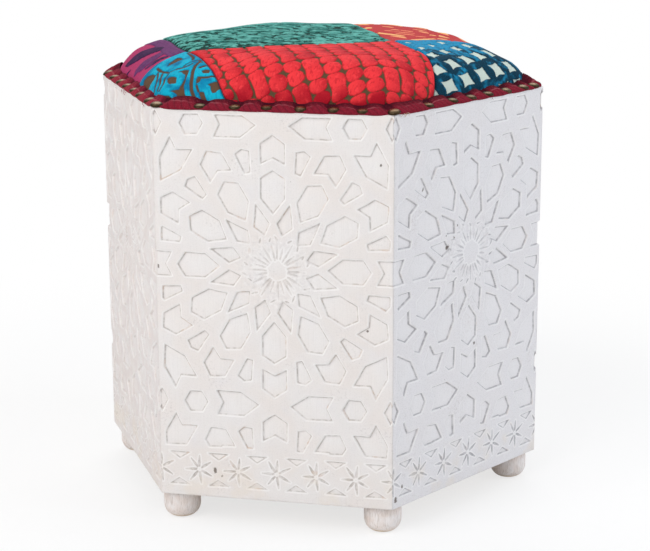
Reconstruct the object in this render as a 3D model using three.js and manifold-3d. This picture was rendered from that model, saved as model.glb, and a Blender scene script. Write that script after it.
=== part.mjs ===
// Hexagonal stool: six mitred sides carved with a twelve-fold star, a patchwork cushion
// nailed down under a braid, and six turned feet. Millimetres, +Z up. The origin is on the
// floor under the middle of the stool, and the first side faces -Y.

import * as THREE from 'three';
import { mergeGeometries, mergeVertices } from 'three/addons/utils/BufferGeometryUtils.js';
import Module from 'manifold-3d';

const wasm = await Module();
wasm.setup();

// Body
const sideCount = 6;
const sideWidth = 225; // outer width of one side, from corner to corner
const sideHeight = 374;
const panelThickness = 14;
const glueGap = 0.3; // left where two pieces meet face to face
const cutOverrun = 5; // how far a cutter passes the face that it cuts

// Carving on each side
const carvingDepth = 2;
const fieldSideMargin = 5.5; // plain edge left and right of the carved field
const fieldTopMargin = 4.75;
const fieldBottomMargin = 50.7; // plain band under the carved field
const starDrop = 146; // from the top edge of the side down to the middle of its star
const starReach = 124.5; // from the middle of the star to the tips of its outer ring
const starFold = 12; // the star repeats this many times round its middle
const starSpikeCount = 12;
const hexagonCorners = 6;

// Inner frame
const baseBoardThickness = 12;
const seatBoardThickness = 15;
const postLegWidth = 32; // how far a corner post reaches along each side that it is glued to
const postDepth = 27; // from its outer corner towards the middle of the stool
const postInnerWidth = 44; // its flat face towards the middle

// Feet
const footHeight = 28;
const footDiameter = 36;
const footNeckDiameter = 33;
const footSoleDiameter = 15;
const footBulgeHeight = 15; // height at which the foot reaches its full width
const footNeckDrop = 5; // from the neck down to where the foot reaches its full width again
const footCornerInset = 27; // from the outer corner of the stool to the axis of the foot
const tenonDiameter = 12;
const tenonLength = 32;
const tenonChamfer = 1.5;
const tenonClearance = 0.3;
const roundSteps = 20;
const bulgeSteps = 5;

// Cushion
const cushionInset = 10.5; // from the outer face of a side in to the edge of the cushion
const cushionEdgeRise = 7; // upright edge of the cushion above the sides
const cushionCrownRise = 40; // from the upright edge to the middle of the crown
const coverThickness = 1.6;
const seamGap = 0.3;
const crownFlatness = 4.6; // the higher, the flatter the middle of the crown
const crownShoulder = 0.72; // the lower, the fuller the shoulder of the crown
const cornerSharpness = 20; // the higher, the sharper the six corners of the cushion
const cushionSteps = 48;
const crownRingShares = [1, 0.985, 0.95, 0.9, 0.82, 0.7, 0.5, 0.26];

// Braid over the nailed edge of the cover
const braidSetback = 0.4; // from the outer face of a side in to the edge of the braid
const braidThickness = 2;
const braidRise = 10; // height of its inner edge above the sides

// Worked-out sizes
const turn = 2 * Math.PI;
const sideTurn = turn / sideCount;
const halfSideTurn = sideTurn / 2;
const apothem = sideWidth / 2 / Math.tan(halfSideTurn);
const innerApothem = apothem - panelThickness;
const sidesTop = footHeight + sideHeight;
const baseBoardTop = footHeight + baseBoardThickness;
const seatBoardBottom = sidesTop - seatBoardThickness;
const cushionBottom = sidesTop + glueGap;
const cushionApothem = apothem - cushionInset;
const footAxisRadius = sideWidth - footCornerInset;
const tenonTop = footHeight - glueGap + tenonLength;

const colours = {
  whitewash: '#cfc8bb',
  footWood: '#c9c0b0',
  plainWood: '#b98f5e',
  plywood: '#c7a36c',
  foam: '#e6dfc4',
  maroonBraid: '#5a1f2a',
  purpleVelvet: '#6b3c5f',
  cyanVelvet: '#3f8f96',
  tealVelvet: '#2f7a74',
  redVelvet: '#9c1f24',
  orangeVelvet: '#a63a1f',
  blueVelvet: '#2a4f86',
};

// Materials, meshes and solids

function finish(colour, roughness) {
  return new THREE.MeshStandardMaterial({ color: colour, roughness, metalness: 0 });
}

function named(name, geometry, colour, roughness) {
  const mesh = new THREE.Mesh(geometry, finish(colour, roughness));
  mesh.name = name;
  return mesh;
}

function toSolid(geometry) {
  const bare = geometry.clone();
  bare.deleteAttribute('normal');
  bare.deleteAttribute('uv');
  const welded = mergeVertices(bare);
  return new wasm.Manifold(new wasm.Mesh({
    numProp: 3,
    vertProperties: welded.attributes.position.array,
    triVerts: Uint32Array.from(welded.index.array),
  }));
}

function toGeometry(solid) {
  const mesh = solid.getMesh();
  const geometry = new THREE.BufferGeometry();
  geometry.setAttribute('position', new THREE.BufferAttribute(mesh.vertProperties, 3));
  geometry.setIndex(new THREE.BufferAttribute(mesh.triVerts, 1));
  geometry.computeVertexNormals();
  return geometry;
}

// A flat outline, given as [x, y] points, raised along Z
function prism(outline, height) {
  const shape = new THREE.Shape(outline.map(([x, y]) => new THREE.Vector2(x, y)));
  return new THREE.ExtrudeGeometry(shape, { depth: height, bevelEnabled: false });
}

// A closed skin over rings of points, each ring as long as the next. Rings run anticlockwise
// seen from above and follow each other from the bottom up on the outer side of the solid.
function ringSkin(rings, joinEnds) {
  const count = rings[0].length;
  const points = rings.flat();
  const faces = [];
  const bands = joinEnds ? rings.length : rings.length - 1;
  for (let band = 0; band < bands; band += 1) {
    for (let step = 0; step < count; step += 1) {
      const lower = band * count;
      const upper = ((band + 1) % rings.length) * count;
      const next = (step + 1) % count;
      faces.push(lower + step, lower + next, upper + next);
      faces.push(lower + step, upper + next, upper + step);
    }
  }
  if (!joinEnds) {
    const top = (rings.length - 1) * count;
    const [lowest, highest] = [middleOf(rings[0]), middleOf(rings[rings.length - 1])];
    const first = points.push(lowest, highest) - 2;
    for (let step = 0; step < count; step += 1) {
      const next = (step + 1) % count;
      faces.push(first, next, step);
      faces.push(first + 1, top + step, top + next);
    }
  }
  const geometry = new THREE.BufferGeometry().setFromPoints(points);
  geometry.setIndex(faces);
  geometry.computeVertexNormals();
  return geometry;
}

function middleOf(ring) {
  const sum = ring.reduce((total, point) => total.add(point), new THREE.Vector3());
  return sum.divideScalar(ring.length);
}

// Carved sides

// A recess outline given along and across a ray from the middle of a star, in shares of
// starReach. It is turned to the angle of the ray and placed in the plane of the side.
function rayRecess(outlineShares, angle, middleHeight) {
  return outlineShares.map(([alongShare, acrossShare]) => {
    const along = alongShare * starReach;
    const across = acrossShare * starReach;
    return [
      along * Math.cos(angle) - across * Math.sin(angle),
      along * Math.sin(angle) + across * Math.cos(angle) + middleHeight,
    ];
  });
}

// The same outline set down in one quarter round a point: signs of +1 or -1 mirror it
function quarterRecess(outlineShares, signX, signY, middleHeight) {
  const points = outlineShares.map(([xShare, yShare]) => [
    signX * xShare * starReach,
    signY * yShare * starReach + middleHeight,
  ]);
  return signX * signY > 0 ? points : points.reverse();
}

const spikeShares = [[0.228, 0], [0.17, 0.013], [0.108, 0], [0.17, -0.013]];
const kiteShares = [[0.506, 0], [0.333, 0.064], [0.255, 0], [0.333, -0.064]];
const petalShares = [
  [0.739, 0], [0.677, 0.094], [0.522, 0.094], [0.408, 0], [0.522, -0.094], [0.677, -0.094],
];
const houseShares = [
  [1, 0], [0.934, 0.096], [0.779, 0.094], [0.827, 0], [0.779, -0.094], [0.934, -0.096],
];
const dartShares = [
  [0.918, 0], [0.892, 0.058], [0.733, 0.024], [0.733, -0.024], [0.892, -0.058],
];
const shieldShares = [
  [0.773, 0.968], [0.727, 0.869], [0.602, 0.873], [0.693, 0.713], [0.853, 0.627], [0.863, 0.803],
];
const arrowShares = [
  [0.12, 0], [0.241, -0.096], [0.446, -0.096], [0.402, 0], [0.452, 0.096], [0.261, 0.093],
];
const rhombusShares = [[0.934, 0], [0.884, 0.094], [0.834, 0], [0.884, -0.094]];
const hexagonMiddleShare = 0.612;
const hexagonRadiusShare = 0.094;
const meetingShare = 1.066; // from the middle of a star to the line where two stars meet

function raysFrom(firstAngle, count) {
  return Array.from({ length: count }, (unused, index) => firstAngle + (index * turn) / count);
}

const quarters = [[1, 1], [-1, 1], [-1, -1], [1, -1]];

function starRecesses(middleHeight) {
  const onRays = raysFrom(0, starFold);
  const betweenRays = raysFrom(turn / starFold / 2, starFold);
  return [
    ...raysFrom(0, starSpikeCount).map((angle) => rayRecess(spikeShares, angle, middleHeight)),
    ...betweenRays.map((angle) => rayRecess(kiteShares, angle, middleHeight)),
    ...onRays.map((angle) => rayRecess(petalShares, angle, middleHeight)),
    ...ringRecesses(middleHeight),
  ];
}

// The outer ring of a star, which the half star under the meeting line shows too
function ringRecesses(middleHeight) {
  const onRays = raysFrom(0, starFold);
  const betweenRays = raysFrom(turn / starFold / 2, starFold);
  return [
    ...onRays.map((angle) => rayRecess(houseShares, angle, middleHeight)),
    ...betweenRays.map((angle) => rayRecess(dartShares, angle, middleHeight)),
    ...quarters.map(([signX, signY]) => quarterRecess(shieldShares, signX, signY, middleHeight)),
  ];
}

function hexagonShares(middleShare) {
  return raysFrom(0, hexagonCorners).map((angle) => [
    middleShare + hexagonRadiusShare * Math.cos(angle),
    hexagonRadiusShare * Math.sin(angle),
  ]);
}

// What fills the line on which two stars meet, left and right alike
function meetingRecesses(lineHeight) {
  return [1, -1].flatMap((signX) => [
    quarterRecess(arrowShares.slice().reverse(), signX, 1, lineHeight),
    quarterRecess(hexagonShares(hexagonMiddleShare), signX, 1, lineHeight),
    quarterRecess(rhombusShares, signX, 1, lineHeight),
  ]);
}

// Stands a flat outline upright in the outer face of a side, as deep as the carving
function recessCutter(outline) {
  const cutter = prism(outline, carvingDepth + cutOverrun);
  cutter.rotateX(Math.PI / 2);
  cutter.translate(0, carvingDepth, 0);
  return cutter;
}

function carvedField() {
  const halfWidth = sideWidth / 2 - fieldSideMargin;
  const top = sideHeight - fieldTopMargin;
  const edge = [
    [-halfWidth, fieldBottomMargin], [halfWidth, fieldBottomMargin], [halfWidth, top], [-halfWidth, top],
  ];
  return toSolid(recessCutter(edge));
}

// Every recess of one side as a single cutter, trimmed to the carved field
function carvingCutter() {
  const middle = sideHeight - starDrop;
  const toMeeting = meetingShare * starReach;
  const outlines = [
    ...starRecesses(middle),
    ...ringRecesses(middle - 2 * toMeeting),
    ...meetingRecesses(middle + toMeeting),
    ...meetingRecesses(middle - toMeeting),
  ];
  const field = carvedField();
  return outlines
    .map((outline) => toSolid(recessCutter(outline)).intersect(field))
    .filter((cutter) => !cutter.isEmpty())
    .reduce((whole, cutter) => whole.add(cutter));
}

// Seen from above: the outer face lies along y = 0 and the ends are mitred
function panelOutline() {
  const mitreShift = glueGap / 2 / Math.cos(halfSideTurn);
  const outerHalf = sideWidth / 2 - mitreShift;
  const innerHalf = outerHalf - panelThickness * Math.tan(halfSideTurn);
  return [[-outerHalf, 0], [outerHalf, 0], [innerHalf, panelThickness], [-innerHalf, panelThickness]];
}

function carvedPanel() {
  const blank = toSolid(prism(panelOutline(), sideHeight));
  return toGeometry(blank.subtract(carvingCutter()));
}

// Inner frame

function hexagonOutline(hexagonApothem) {
  const radius = hexagonApothem / Math.cos(halfSideTurn);
  return raysFrom(0, sideCount).map((angle) => [radius * Math.cos(angle), radius * Math.sin(angle)]);
}

// A bore for a foot's tenon, standing on the axis of that foot
function tenonBore(bottom, top) {
  const radius = tenonDiameter / 2 + tenonClearance;
  const bore = new THREE.CylinderGeometry(radius, radius, top - bottom, roundSteps);
  bore.rotateX(Math.PI / 2);
  bore.translate(footAxisRadius, 0, (top + bottom) / 2);
  return bore;
}

function baseBoard() {
  const board = prism(hexagonOutline(innerApothem - glueGap), baseBoardThickness);
  board.translate(0, 0, footHeight);
  const bores = raysFrom(0, sideCount).map((angle) => {
    const bore = tenonBore(footHeight - cutOverrun, baseBoardTop + cutOverrun);
    return bore.rotateZ(angle);
  });
  return toGeometry(toSolid(board).subtract(toSolid(mergeGeometries(bores))));
}

function seatBoard() {
  const board = prism(hexagonOutline(innerApothem - glueGap), seatBoardThickness);
  return board.translate(0, 0, seatBoardBottom);
}

// The post fills the corner on the +X axis and is bored from below for the tenon of its foot
function cornerPost() {
  const corner = (innerApothem - glueGap) / Math.cos(halfSideTurn);
  const legAcross = postLegWidth * Math.cos(halfSideTurn);
  const legBack = corner - postLegWidth * Math.sin(halfSideTurn);
  const back = corner - postDepth;
  const outline = [
    [corner, 0], [legBack, legAcross], [back, postInnerWidth / 2],
    [back, -postInnerWidth / 2], [legBack, -legAcross],
  ];
  const bottom = baseBoardTop + glueGap;
  const post = prism(outline, seatBoardBottom - glueGap - bottom);
  post.translate(0, 0, bottom);
  const bore = tenonBore(bottom - cutOverrun, tenonTop + glueGap);
  return toGeometry(toSolid(post).subtract(toSolid(bore)));
}

// Feet

// A bun foot, turned in one piece with the tenon that goes up into its corner post
function turnedFoot() {
  const sole = footSoleDiameter / 2;
  const bulge = footDiameter / 2;
  const neckHeight = footHeight - glueGap;
  const tenonRadius = tenonDiameter / 2;
  const profile = [new THREE.Vector2(0, 0)];
  for (let step = 0; step <= bulgeSteps; step += 1) {
    const angle = (step / bulgeSteps) * (Math.PI / 2);
    const radius = sole + (bulge - sole) * Math.sin(angle);
    profile.push(new THREE.Vector2(radius, footBulgeHeight * (1 - Math.cos(angle))));
  }
  profile.push(
    new THREE.Vector2(bulge, neckHeight - footNeckDrop),
    new THREE.Vector2(footNeckDiameter / 2, neckHeight),
    new THREE.Vector2(tenonRadius, neckHeight),
    new THREE.Vector2(tenonRadius, tenonTop - tenonChamfer),
    new THREE.Vector2(tenonRadius - tenonChamfer, tenonTop),
    new THREE.Vector2(0, tenonTop),
  );
  return new THREE.LatheGeometry(profile, roundSteps).rotateX(Math.PI / 2);
}

// Cushion

// How far a direction reaches towards the six sides: 1 straight at a side, less at a corner
function sideward(angle) {
  const reaches = raysFrom(halfSideTurn, sideCount).map((normal) => Math.abs(Math.cos(angle - normal)));
  const sum = reaches.reduce((total, reach) => total + reach ** cornerSharpness, 0) / 2;
  return sum ** (1 / cornerSharpness);
}

// One level ring with the plan of the cushion: a hexagon with softly rounded corners
function cushionRing(ringApothem, height) {
  return raysFrom(0, cushionSteps).map((angle) => {
    const radius = ringApothem / sideward(angle);
    return new THREE.Vector3(radius * Math.cos(angle), radius * Math.sin(angle), height);
  });
}

// A crowned pad whose surface lies a given depth under the outside of the cover
function crownedPad(depth, bottom) {
  const rings = crownRingShares.map((ringShare) => {
    const crown = (1 - ringShare ** crownFlatness) ** crownShoulder;
    const height = sidesTop + cushionEdgeRise - depth + cushionCrownRise * crown;
    return cushionRing(ringShare * (cushionApothem - depth), height);
  });
  return ringSkin([cushionRing(cushionApothem - depth, bottom), ...rings], false);
}

function foamPad() {
  return crownedPad(coverThickness + glueGap, cushionBottom);
}

// Places in the plan of the seat, in shares of sideWidth: the two points where four patches
// meet, and a point on each seam that runs from there over the edge of the cushion
const leftMeetingShares = [-0.48, -0.4];
const rightMeetingShares = [0.365, -0.15];
const leftSeamEndShares = { front: [-0.21, -0.83], row: [-0.74, -0.51], back: [-0.83, 0.2] };
const rightSeamEndShares = { front: [0.61, -0.57], row: [0.81, 0.235], back: [-0.09, 0.82] };
const seamReachShare = 1.6; // how far a seam is drawn on from its meeting point, past the edge

function inPlan([xShare, yShare]) {
  return new THREE.Vector2(xShare * sideWidth, yShare * sideWidth);
}

function drawnOn(start, endShares) {
  return inPlan(endShares).sub(start).multiplyScalar(seamReachShare).add(start);
}

function seamPlan() {
  const left = inPlan(leftMeetingShares);
  const right = inPlan(rightMeetingShares);
  return {
    left,
    right,
    leftFront: drawnOn(left, leftSeamEndShares.front),
    leftRow: drawnOn(left, leftSeamEndShares.row),
    leftBack: drawnOn(left, leftSeamEndShares.back),
    rightFront: drawnOn(right, rightSeamEndShares.front),
    rightRow: drawnOn(right, rightSeamEndShares.row),
    rightBack: drawnOn(right, rightSeamEndShares.back),
  };
}

const coverTop = sidesTop + cushionEdgeRise + cushionCrownRise + cutOverrun;

// An upright column over a stretch of the plan, from under the cover to above it
function planColumn(corners) {
  const column = prism(corners.map((corner) => corner.toArray()), coverTop - sidesTop);
  return toSolid(column.translate(0, 0, sidesTop));
}

// The thin upright slot that parts two patches along a seam
function seamSlot(start, end) {
  const along = end.clone().sub(start).setLength(seamGap / 2);
  const across = new THREE.Vector2(-along.y, along.x);
  const [from, to] = [start.clone().sub(along), end.clone().add(along)];
  return planColumn([
    from.clone().sub(across), to.clone().sub(across), to.clone().add(across), from.clone().add(across),
  ]);
}

// The point past the edge of the cushion that closes a patch between two seams
function beyond(first, second) {
  return first.clone().add(second);
}

function patchCorners(plan) {
  return {
    red: [plan.left, plan.leftFront, plan.rightFront, plan.right],
    cyan: [plan.left, plan.leftRow, beyond(plan.leftRow, plan.leftFront), plan.leftFront],
    purple: [plan.left, plan.leftBack, beyond(plan.leftBack, plan.leftRow), plan.leftRow],
    teal: [plan.left, plan.right, plan.rightBack, beyond(plan.rightBack, plan.leftBack), plan.leftBack],
    orange: [plan.right, plan.rightRow, beyond(plan.rightRow, plan.rightBack), plan.rightBack],
    blue: [plan.right, plan.rightFront, beyond(plan.rightFront, plan.rightRow), plan.rightRow],
  };
}

// The cover is one crowned shell, open below, parted along its seams
function coverPatches() {
  const outside = toSolid(crownedPad(0, cushionBottom));
  const inside = toSolid(crownedPad(coverThickness, cushionBottom - cutOverrun));
  const plan = seamPlan();
  const slots = [
    seamSlot(plan.left, plan.right),
    ...[plan.leftFront, plan.leftRow, plan.leftBack].map((end) => seamSlot(plan.left, end)),
    ...[plan.rightFront, plan.rightRow, plan.rightBack].map((end) => seamSlot(plan.right, end)),
  ];
  const parted = slots.reduce((shell, slot) => shell.subtract(slot), outside.subtract(inside));
  return Object.entries(patchCorners(plan)).map(([patch, corners]) => (
    named(`cover_patch_${patch}`, toGeometry(parted.intersect(planColumn(corners))), colours[`${patch}Velvet`], 0.9)
  ));
}

// Braid

// Its outer edge follows the six sides and its inner edge lies against the cushion
function edgeBraid() {
  const outer = (height) => raysFrom(0, cushionSteps).map((angle) => {
    const toSide = Math.max(...raysFrom(halfSideTurn, sideCount).map((normal) => Math.cos(angle - normal)));
    const radius = (apothem - braidSetback) / toSide;
    return new THREE.Vector3(radius * Math.cos(angle), radius * Math.sin(angle), height);
  });
  const inner = (height) => cushionRing(cushionApothem + glueGap, height);
  const bottom = sidesTop + glueGap;
  const rings = [
    inner(bottom), outer(bottom), outer(bottom + braidThickness), inner(sidesTop + braidRise),
  ];
  return ringSkin(rings, true);
}

// Assembly

const stool = new THREE.Group();
const panelGeometry = carvedPanel();
const postGeometry = cornerPost();
const footGeometry = turnedFoot();

for (let side = 0; side < sideCount; side += 1) {
  const panelBay = new THREE.Group();
  panelBay.rotation.z = side * sideTurn;
  const panel = named(`side_panel_${side + 1}`, panelGeometry, colours.whitewash, 0.75);
  panel.position.set(0, -apothem, footHeight);
  panelBay.add(panel);

  const cornerBay = new THREE.Group();
  cornerBay.rotation.z = side * sideTurn;
  const foot = named(`foot_${side + 1}`, footGeometry, colours.footWood, 0.7);
  foot.position.set(footAxisRadius, 0, 0);
  cornerBay.add(named(`corner_post_${side + 1}`, postGeometry, colours.plainWood, 0.8), foot);
  stool.add(panelBay, cornerBay);
}

stool.add(
  named('base_board', baseBoard(), colours.plywood, 0.8),
  named('seat_board', seatBoard(), colours.plywood, 0.8),
  named('foam_pad', foamPad(), colours.foam, 0.95),
  ...coverPatches(),
  named('edge_braid', edgeBraid(), colours.maroonBraid, 0.85),
);

export default stool;
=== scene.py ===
import math

import bpy
import numpy as np
from mathutils import Matrix, Vector


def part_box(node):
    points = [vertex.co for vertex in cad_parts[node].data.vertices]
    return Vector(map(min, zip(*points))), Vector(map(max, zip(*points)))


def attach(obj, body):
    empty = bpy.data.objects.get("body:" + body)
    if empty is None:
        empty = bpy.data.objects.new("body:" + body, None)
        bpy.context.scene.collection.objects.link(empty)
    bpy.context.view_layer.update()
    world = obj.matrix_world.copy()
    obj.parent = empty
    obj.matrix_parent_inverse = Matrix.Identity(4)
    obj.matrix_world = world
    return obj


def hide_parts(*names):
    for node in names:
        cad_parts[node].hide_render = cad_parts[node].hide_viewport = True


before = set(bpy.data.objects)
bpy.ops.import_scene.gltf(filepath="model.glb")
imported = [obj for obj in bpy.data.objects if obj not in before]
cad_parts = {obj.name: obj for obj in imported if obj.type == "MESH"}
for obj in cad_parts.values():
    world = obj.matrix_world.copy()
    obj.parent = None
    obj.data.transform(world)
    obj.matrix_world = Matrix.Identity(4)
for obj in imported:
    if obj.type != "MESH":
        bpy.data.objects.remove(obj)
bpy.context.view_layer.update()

# Lengths are millimetres here and become metres when a mesh is made.
MM = 0.001
TURN = 2 * math.pi
SIDES = 6
SIDE_TURN = TURN / SIDES


def node_box(node):
    low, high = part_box(node)
    return np.array(low) / MM, np.array(high) / MM


# Sizes taken from the frame
PANEL_LOW, PANEL_HIGH = node_box("side_panel_1")
APOTHEM = -PANEL_LOW[1]
PANEL_THICKNESS = PANEL_HIGH[1] - PANEL_LOW[1]
PANEL_BOTTOM, PANEL_TOP = PANEL_LOW[2], PANEL_HIGH[2]
PANEL_HEIGHT = PANEL_TOP - PANEL_BOTTOM
SIDE_WIDTH = 2 * APOTHEM * math.tan(SIDE_TURN / 2)
FOOT_LOW, FOOT_HIGH = node_box("foot_1")
COVER_HIGH = max(node_box(f"cover_patch_{patch}")[1][2] for patch in ("teal", "red", "orange"))

# Camera, fitted to the corners of the body in the photograph
CAMERA_AZIMUTH = math.radians(12.15)
CAMERA_ELEVATION = math.radians(14.37)
CAMERA_ROLL = math.radians(-0.20)
CAMERA_DISTANCE = 1923.3
CAMERA_ASIDE = 6.5
CAMERA_RAISED = -13.95
CAMERA_FAR_END = 20  # metres
SENSOR_WIDTH = 36.0
FOCAL_LENGTH = 104.2

# Carving
CARVING_DEPTH = 2.0
FIELD_LEFT_MARGIN = 5.5
FIELD_RIGHT_MARGIN = 3.0
FIELD_TOP_MARGIN = 4.75
FIELD_BOTTOM_MARGIN = 50.7
STAR_DROP = 146.0
STAR_REACH = 124.5
STAR_FOLD = 12
CORNER_ROUNDING = 2.2
EDGE_ROUNDING = 1.3
GRID_STEP = 1.0
GLUE_GAP = 0.3

# Cushion
CUSHION_INSET = 10.5
CUSHION_EDGE_RISE = 7.0
CUSHION_CROWN_RISE = COVER_HIGH - PANEL_TOP - CUSHION_EDGE_RISE
CROWN_FLATNESS = 4.6
CROWN_SHOULDER = 0.72
# At the front the padding is fuller. It fills out and falls off again between these bearings, in
# degrees round the stool from the +X axis.
FULL_FLATNESS = 12.0
FULL_SHOULDER = 0.60
FULL_FROM = (-114, -92)
FULL_UNTIL = (-70, 15)
CORNER_SHARPNESS = 20
COVER_THICKNESS = 1.2
COVER_STEP = 1.15
MEAN_RADIUS = 192.0  # of the cushion, for the length of cloth from its middle to its edge


# Plain numeric helpers

NOISE_COLUMNS, NOISE_ROWS = 97, 89


def lattice_noise(x, y, cell, seed):
    """Smooth noise from -1 to 1 over a plane, one random value to each lattice cell."""
    table = np.random.default_rng(seed).uniform(-1, 1, (NOISE_COLUMNS, NOISE_ROWS))
    u, v = np.asarray(x) / cell, np.asarray(y) / cell
    column, row = np.floor(u).astype(int), np.floor(v).astype(int)
    across, up = u - column, v - row
    across, up = across * across * (3 - 2 * across), up * up * (3 - 2 * up)

    def corner(i, j):
        return table[(column + i) % NOISE_COLUMNS, (row + j) % NOISE_ROWS]

    low = corner(0, 0) * (1 - across) + corner(1, 0) * across
    high = corner(0, 1) * (1 - across) + corner(1, 1) * across
    return low * (1 - up) + high * up


def unevenness(x, y, *waves):
    """Noises added up, each given by its height, the size of its cells and its seed."""
    return sum(height * lattice_noise(x, y, cell, seed) for height, cell, seed in waves)


def smooth_step(value, start, end):
    share = np.clip((np.asarray(value, float) - start) / (end - start), 0, 1)
    return share * share * (3 - 2 * share)


def segment_distance(x, y, start, end):
    """Distance to a straight stretch, and how far along it the nearest point lies, 0 to 1."""
    run_x, run_y = end[0] - start[0], end[1] - start[1]
    along = ((x - start[0]) * run_x + (y - start[1]) * run_y) / (run_x ** 2 + run_y ** 2)
    along = np.clip(along, 0, 1)
    return np.hypot(x - start[0] - along * run_x, y - start[1] - along * run_y), along


def inside_outline(x, y, corners):
    inside = np.zeros(np.shape(x), bool)
    for (ax, ay), (bx, by) in zip(corners, corners[1:] + corners[:1]):
        if ay == by:
            continue
        crosses = (ay > y) != (by > y)
        inside ^= crosses & (x < (bx - ax) * (y - ay) / (by - ay) + ax)
    return inside


def outline_distance(x, y, corners):
    """Distance to a closed outline, negative inside it."""
    nearest = np.full(np.shape(x), np.inf)
    for start, end in zip(corners, corners[1:] + corners[:1]):
        nearest = np.minimum(nearest, segment_distance(x, y, start, end)[0])
    return np.where(inside_outline(x, y, corners), -nearest, nearest)


def box_distance(x, y, half_x, half_y, rounding=0.0):
    """Distance to an upright box round the origin with rounded corners, negative inside."""
    out_x, out_y = np.abs(x) - half_x + rounding, np.abs(y) - half_y + rounding
    outside = np.hypot(np.maximum(out_x, 0), np.maximum(out_y, 0))
    return outside + np.minimum(np.maximum(out_x, out_y), 0) - rounding


def turned(x, y, angle):
    """Coordinates along axes that are turned by an angle."""
    return x * np.cos(angle) + y * np.sin(angle), y * np.cos(angle) - x * np.sin(angle)


# Meshes

def make_piece(name, points, faces, layers=None, materials=()):
    """A mesh object from points in millimetres, with named numbers on its points."""
    mesh = bpy.data.meshes.new(name)
    points = np.asarray(points, float).reshape(-1, 3) * MM
    sizes = [len(face) for face in faces]
    corners = np.concatenate([np.asarray(face, np.int64) for face in faces])
    mesh.vertices.add(len(points))
    mesh.vertices.foreach_set("co", points.astype(np.float32).ravel())
    mesh.loops.add(len(corners))
    mesh.loops.foreach_set("vertex_index", corners.astype(np.int32))
    mesh.polygons.add(len(sizes))
    starts = np.concatenate([[0], np.cumsum(sizes)[:-1]])
    mesh.polygons.foreach_set("loop_start", starts.astype(np.int32))
    mesh.polygons.foreach_set("use_smooth", np.full(len(sizes), True))
    mesh.update(calc_edges=True)
    mesh.validate()
    for layer, values in (layers or {}).items():
        attribute = mesh.attributes.new(layer, "FLOAT", "POINT")
        attribute.data.foreach_set("value", np.asarray(values, np.float32).ravel())
    for material in materials:
        mesh.materials.append(material)
    piece = bpy.data.objects.new(name, mesh)
    bpy.context.scene.collection.objects.link(piece)
    return piece


def grid_faces(rows, columns, first=0, wrap=False):
    """Four-sided faces over a grid of points that is numbered row by row."""
    strips = columns if wrap else columns - 1
    row, column = np.meshgrid(np.arange(rows - 1), np.arange(strips), indexing="ij")
    after = (column + 1) % columns
    low, high = first + row * columns, first + (row + 1) * columns
    return np.stack([low + column, low + after, high + after, high + column], -1).reshape(-1, 4)


def capped_rings(rings, steps, first=0):
    """Faces over rings of points, closed by the two middle points that follow the rings."""
    low, high = first + rings * steps, first + rings * steps + 1
    last = first + (rings - 1) * steps
    pairs = [(step, (step + 1) % steps) for step in range(steps)]
    faces = list(grid_faces(rings, steps, first, wrap=True))
    faces += [(low, first + after, first + step) for step, after in pairs]
    faces += [(high, last + step, last + after) for step, after in pairs]
    return faces


def polar_points(reach, angle, height):
    """Points given by their distance from the upright axis, their bearing and their height."""
    heights = np.full(np.shape(angle), height, float)
    return np.stack([reach * np.cos(angle), reach * np.sin(angle), heights], -1)


def bearings(steps):
    return np.arange(steps) * TURN / steps


def turn_about_z(points, angle):
    cosine, sine = math.cos(angle), math.sin(angle)
    x, y, z = np.moveaxis(np.asarray(points, float), -1, 0)
    return np.stack([x * cosine - y * sine, x * sine + y * cosine, z], -1)


def dress(piece, slot, *nodes):
    """Sets a piece on the stool's one body, in the place of the nodes that it stands for."""
    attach(piece, "root")
    if nodes:
        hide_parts(*nodes)
    return piece


# Materials

class Reading:
    """A socket of a finish that takes part in Python sums."""

    def __init__(self, finish, socket):
        self.finish = finish
        self.socket = socket

    def sum_with(self, operation, first, second):
        return self.finish.node("ShaderNodeMath", {"operation": operation}, [first, second])

    def __add__(self, other):
        return self.sum_with("ADD", self, other)

    def __sub__(self, other):
        return self.sum_with("SUBTRACT", self, other)

    def __rsub__(self, other):
        return self.sum_with("SUBTRACT", other, self)

    def __mul__(self, other):
        return self.sum_with("MULTIPLY", self, other)

    def __truediv__(self, other):
        return self.sum_with("DIVIDE", self, other)

    def __pow__(self, other):
        return self.sum_with("POWER", self, other)

    __radd__ = __add__
    __rmul__ = __mul__


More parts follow.
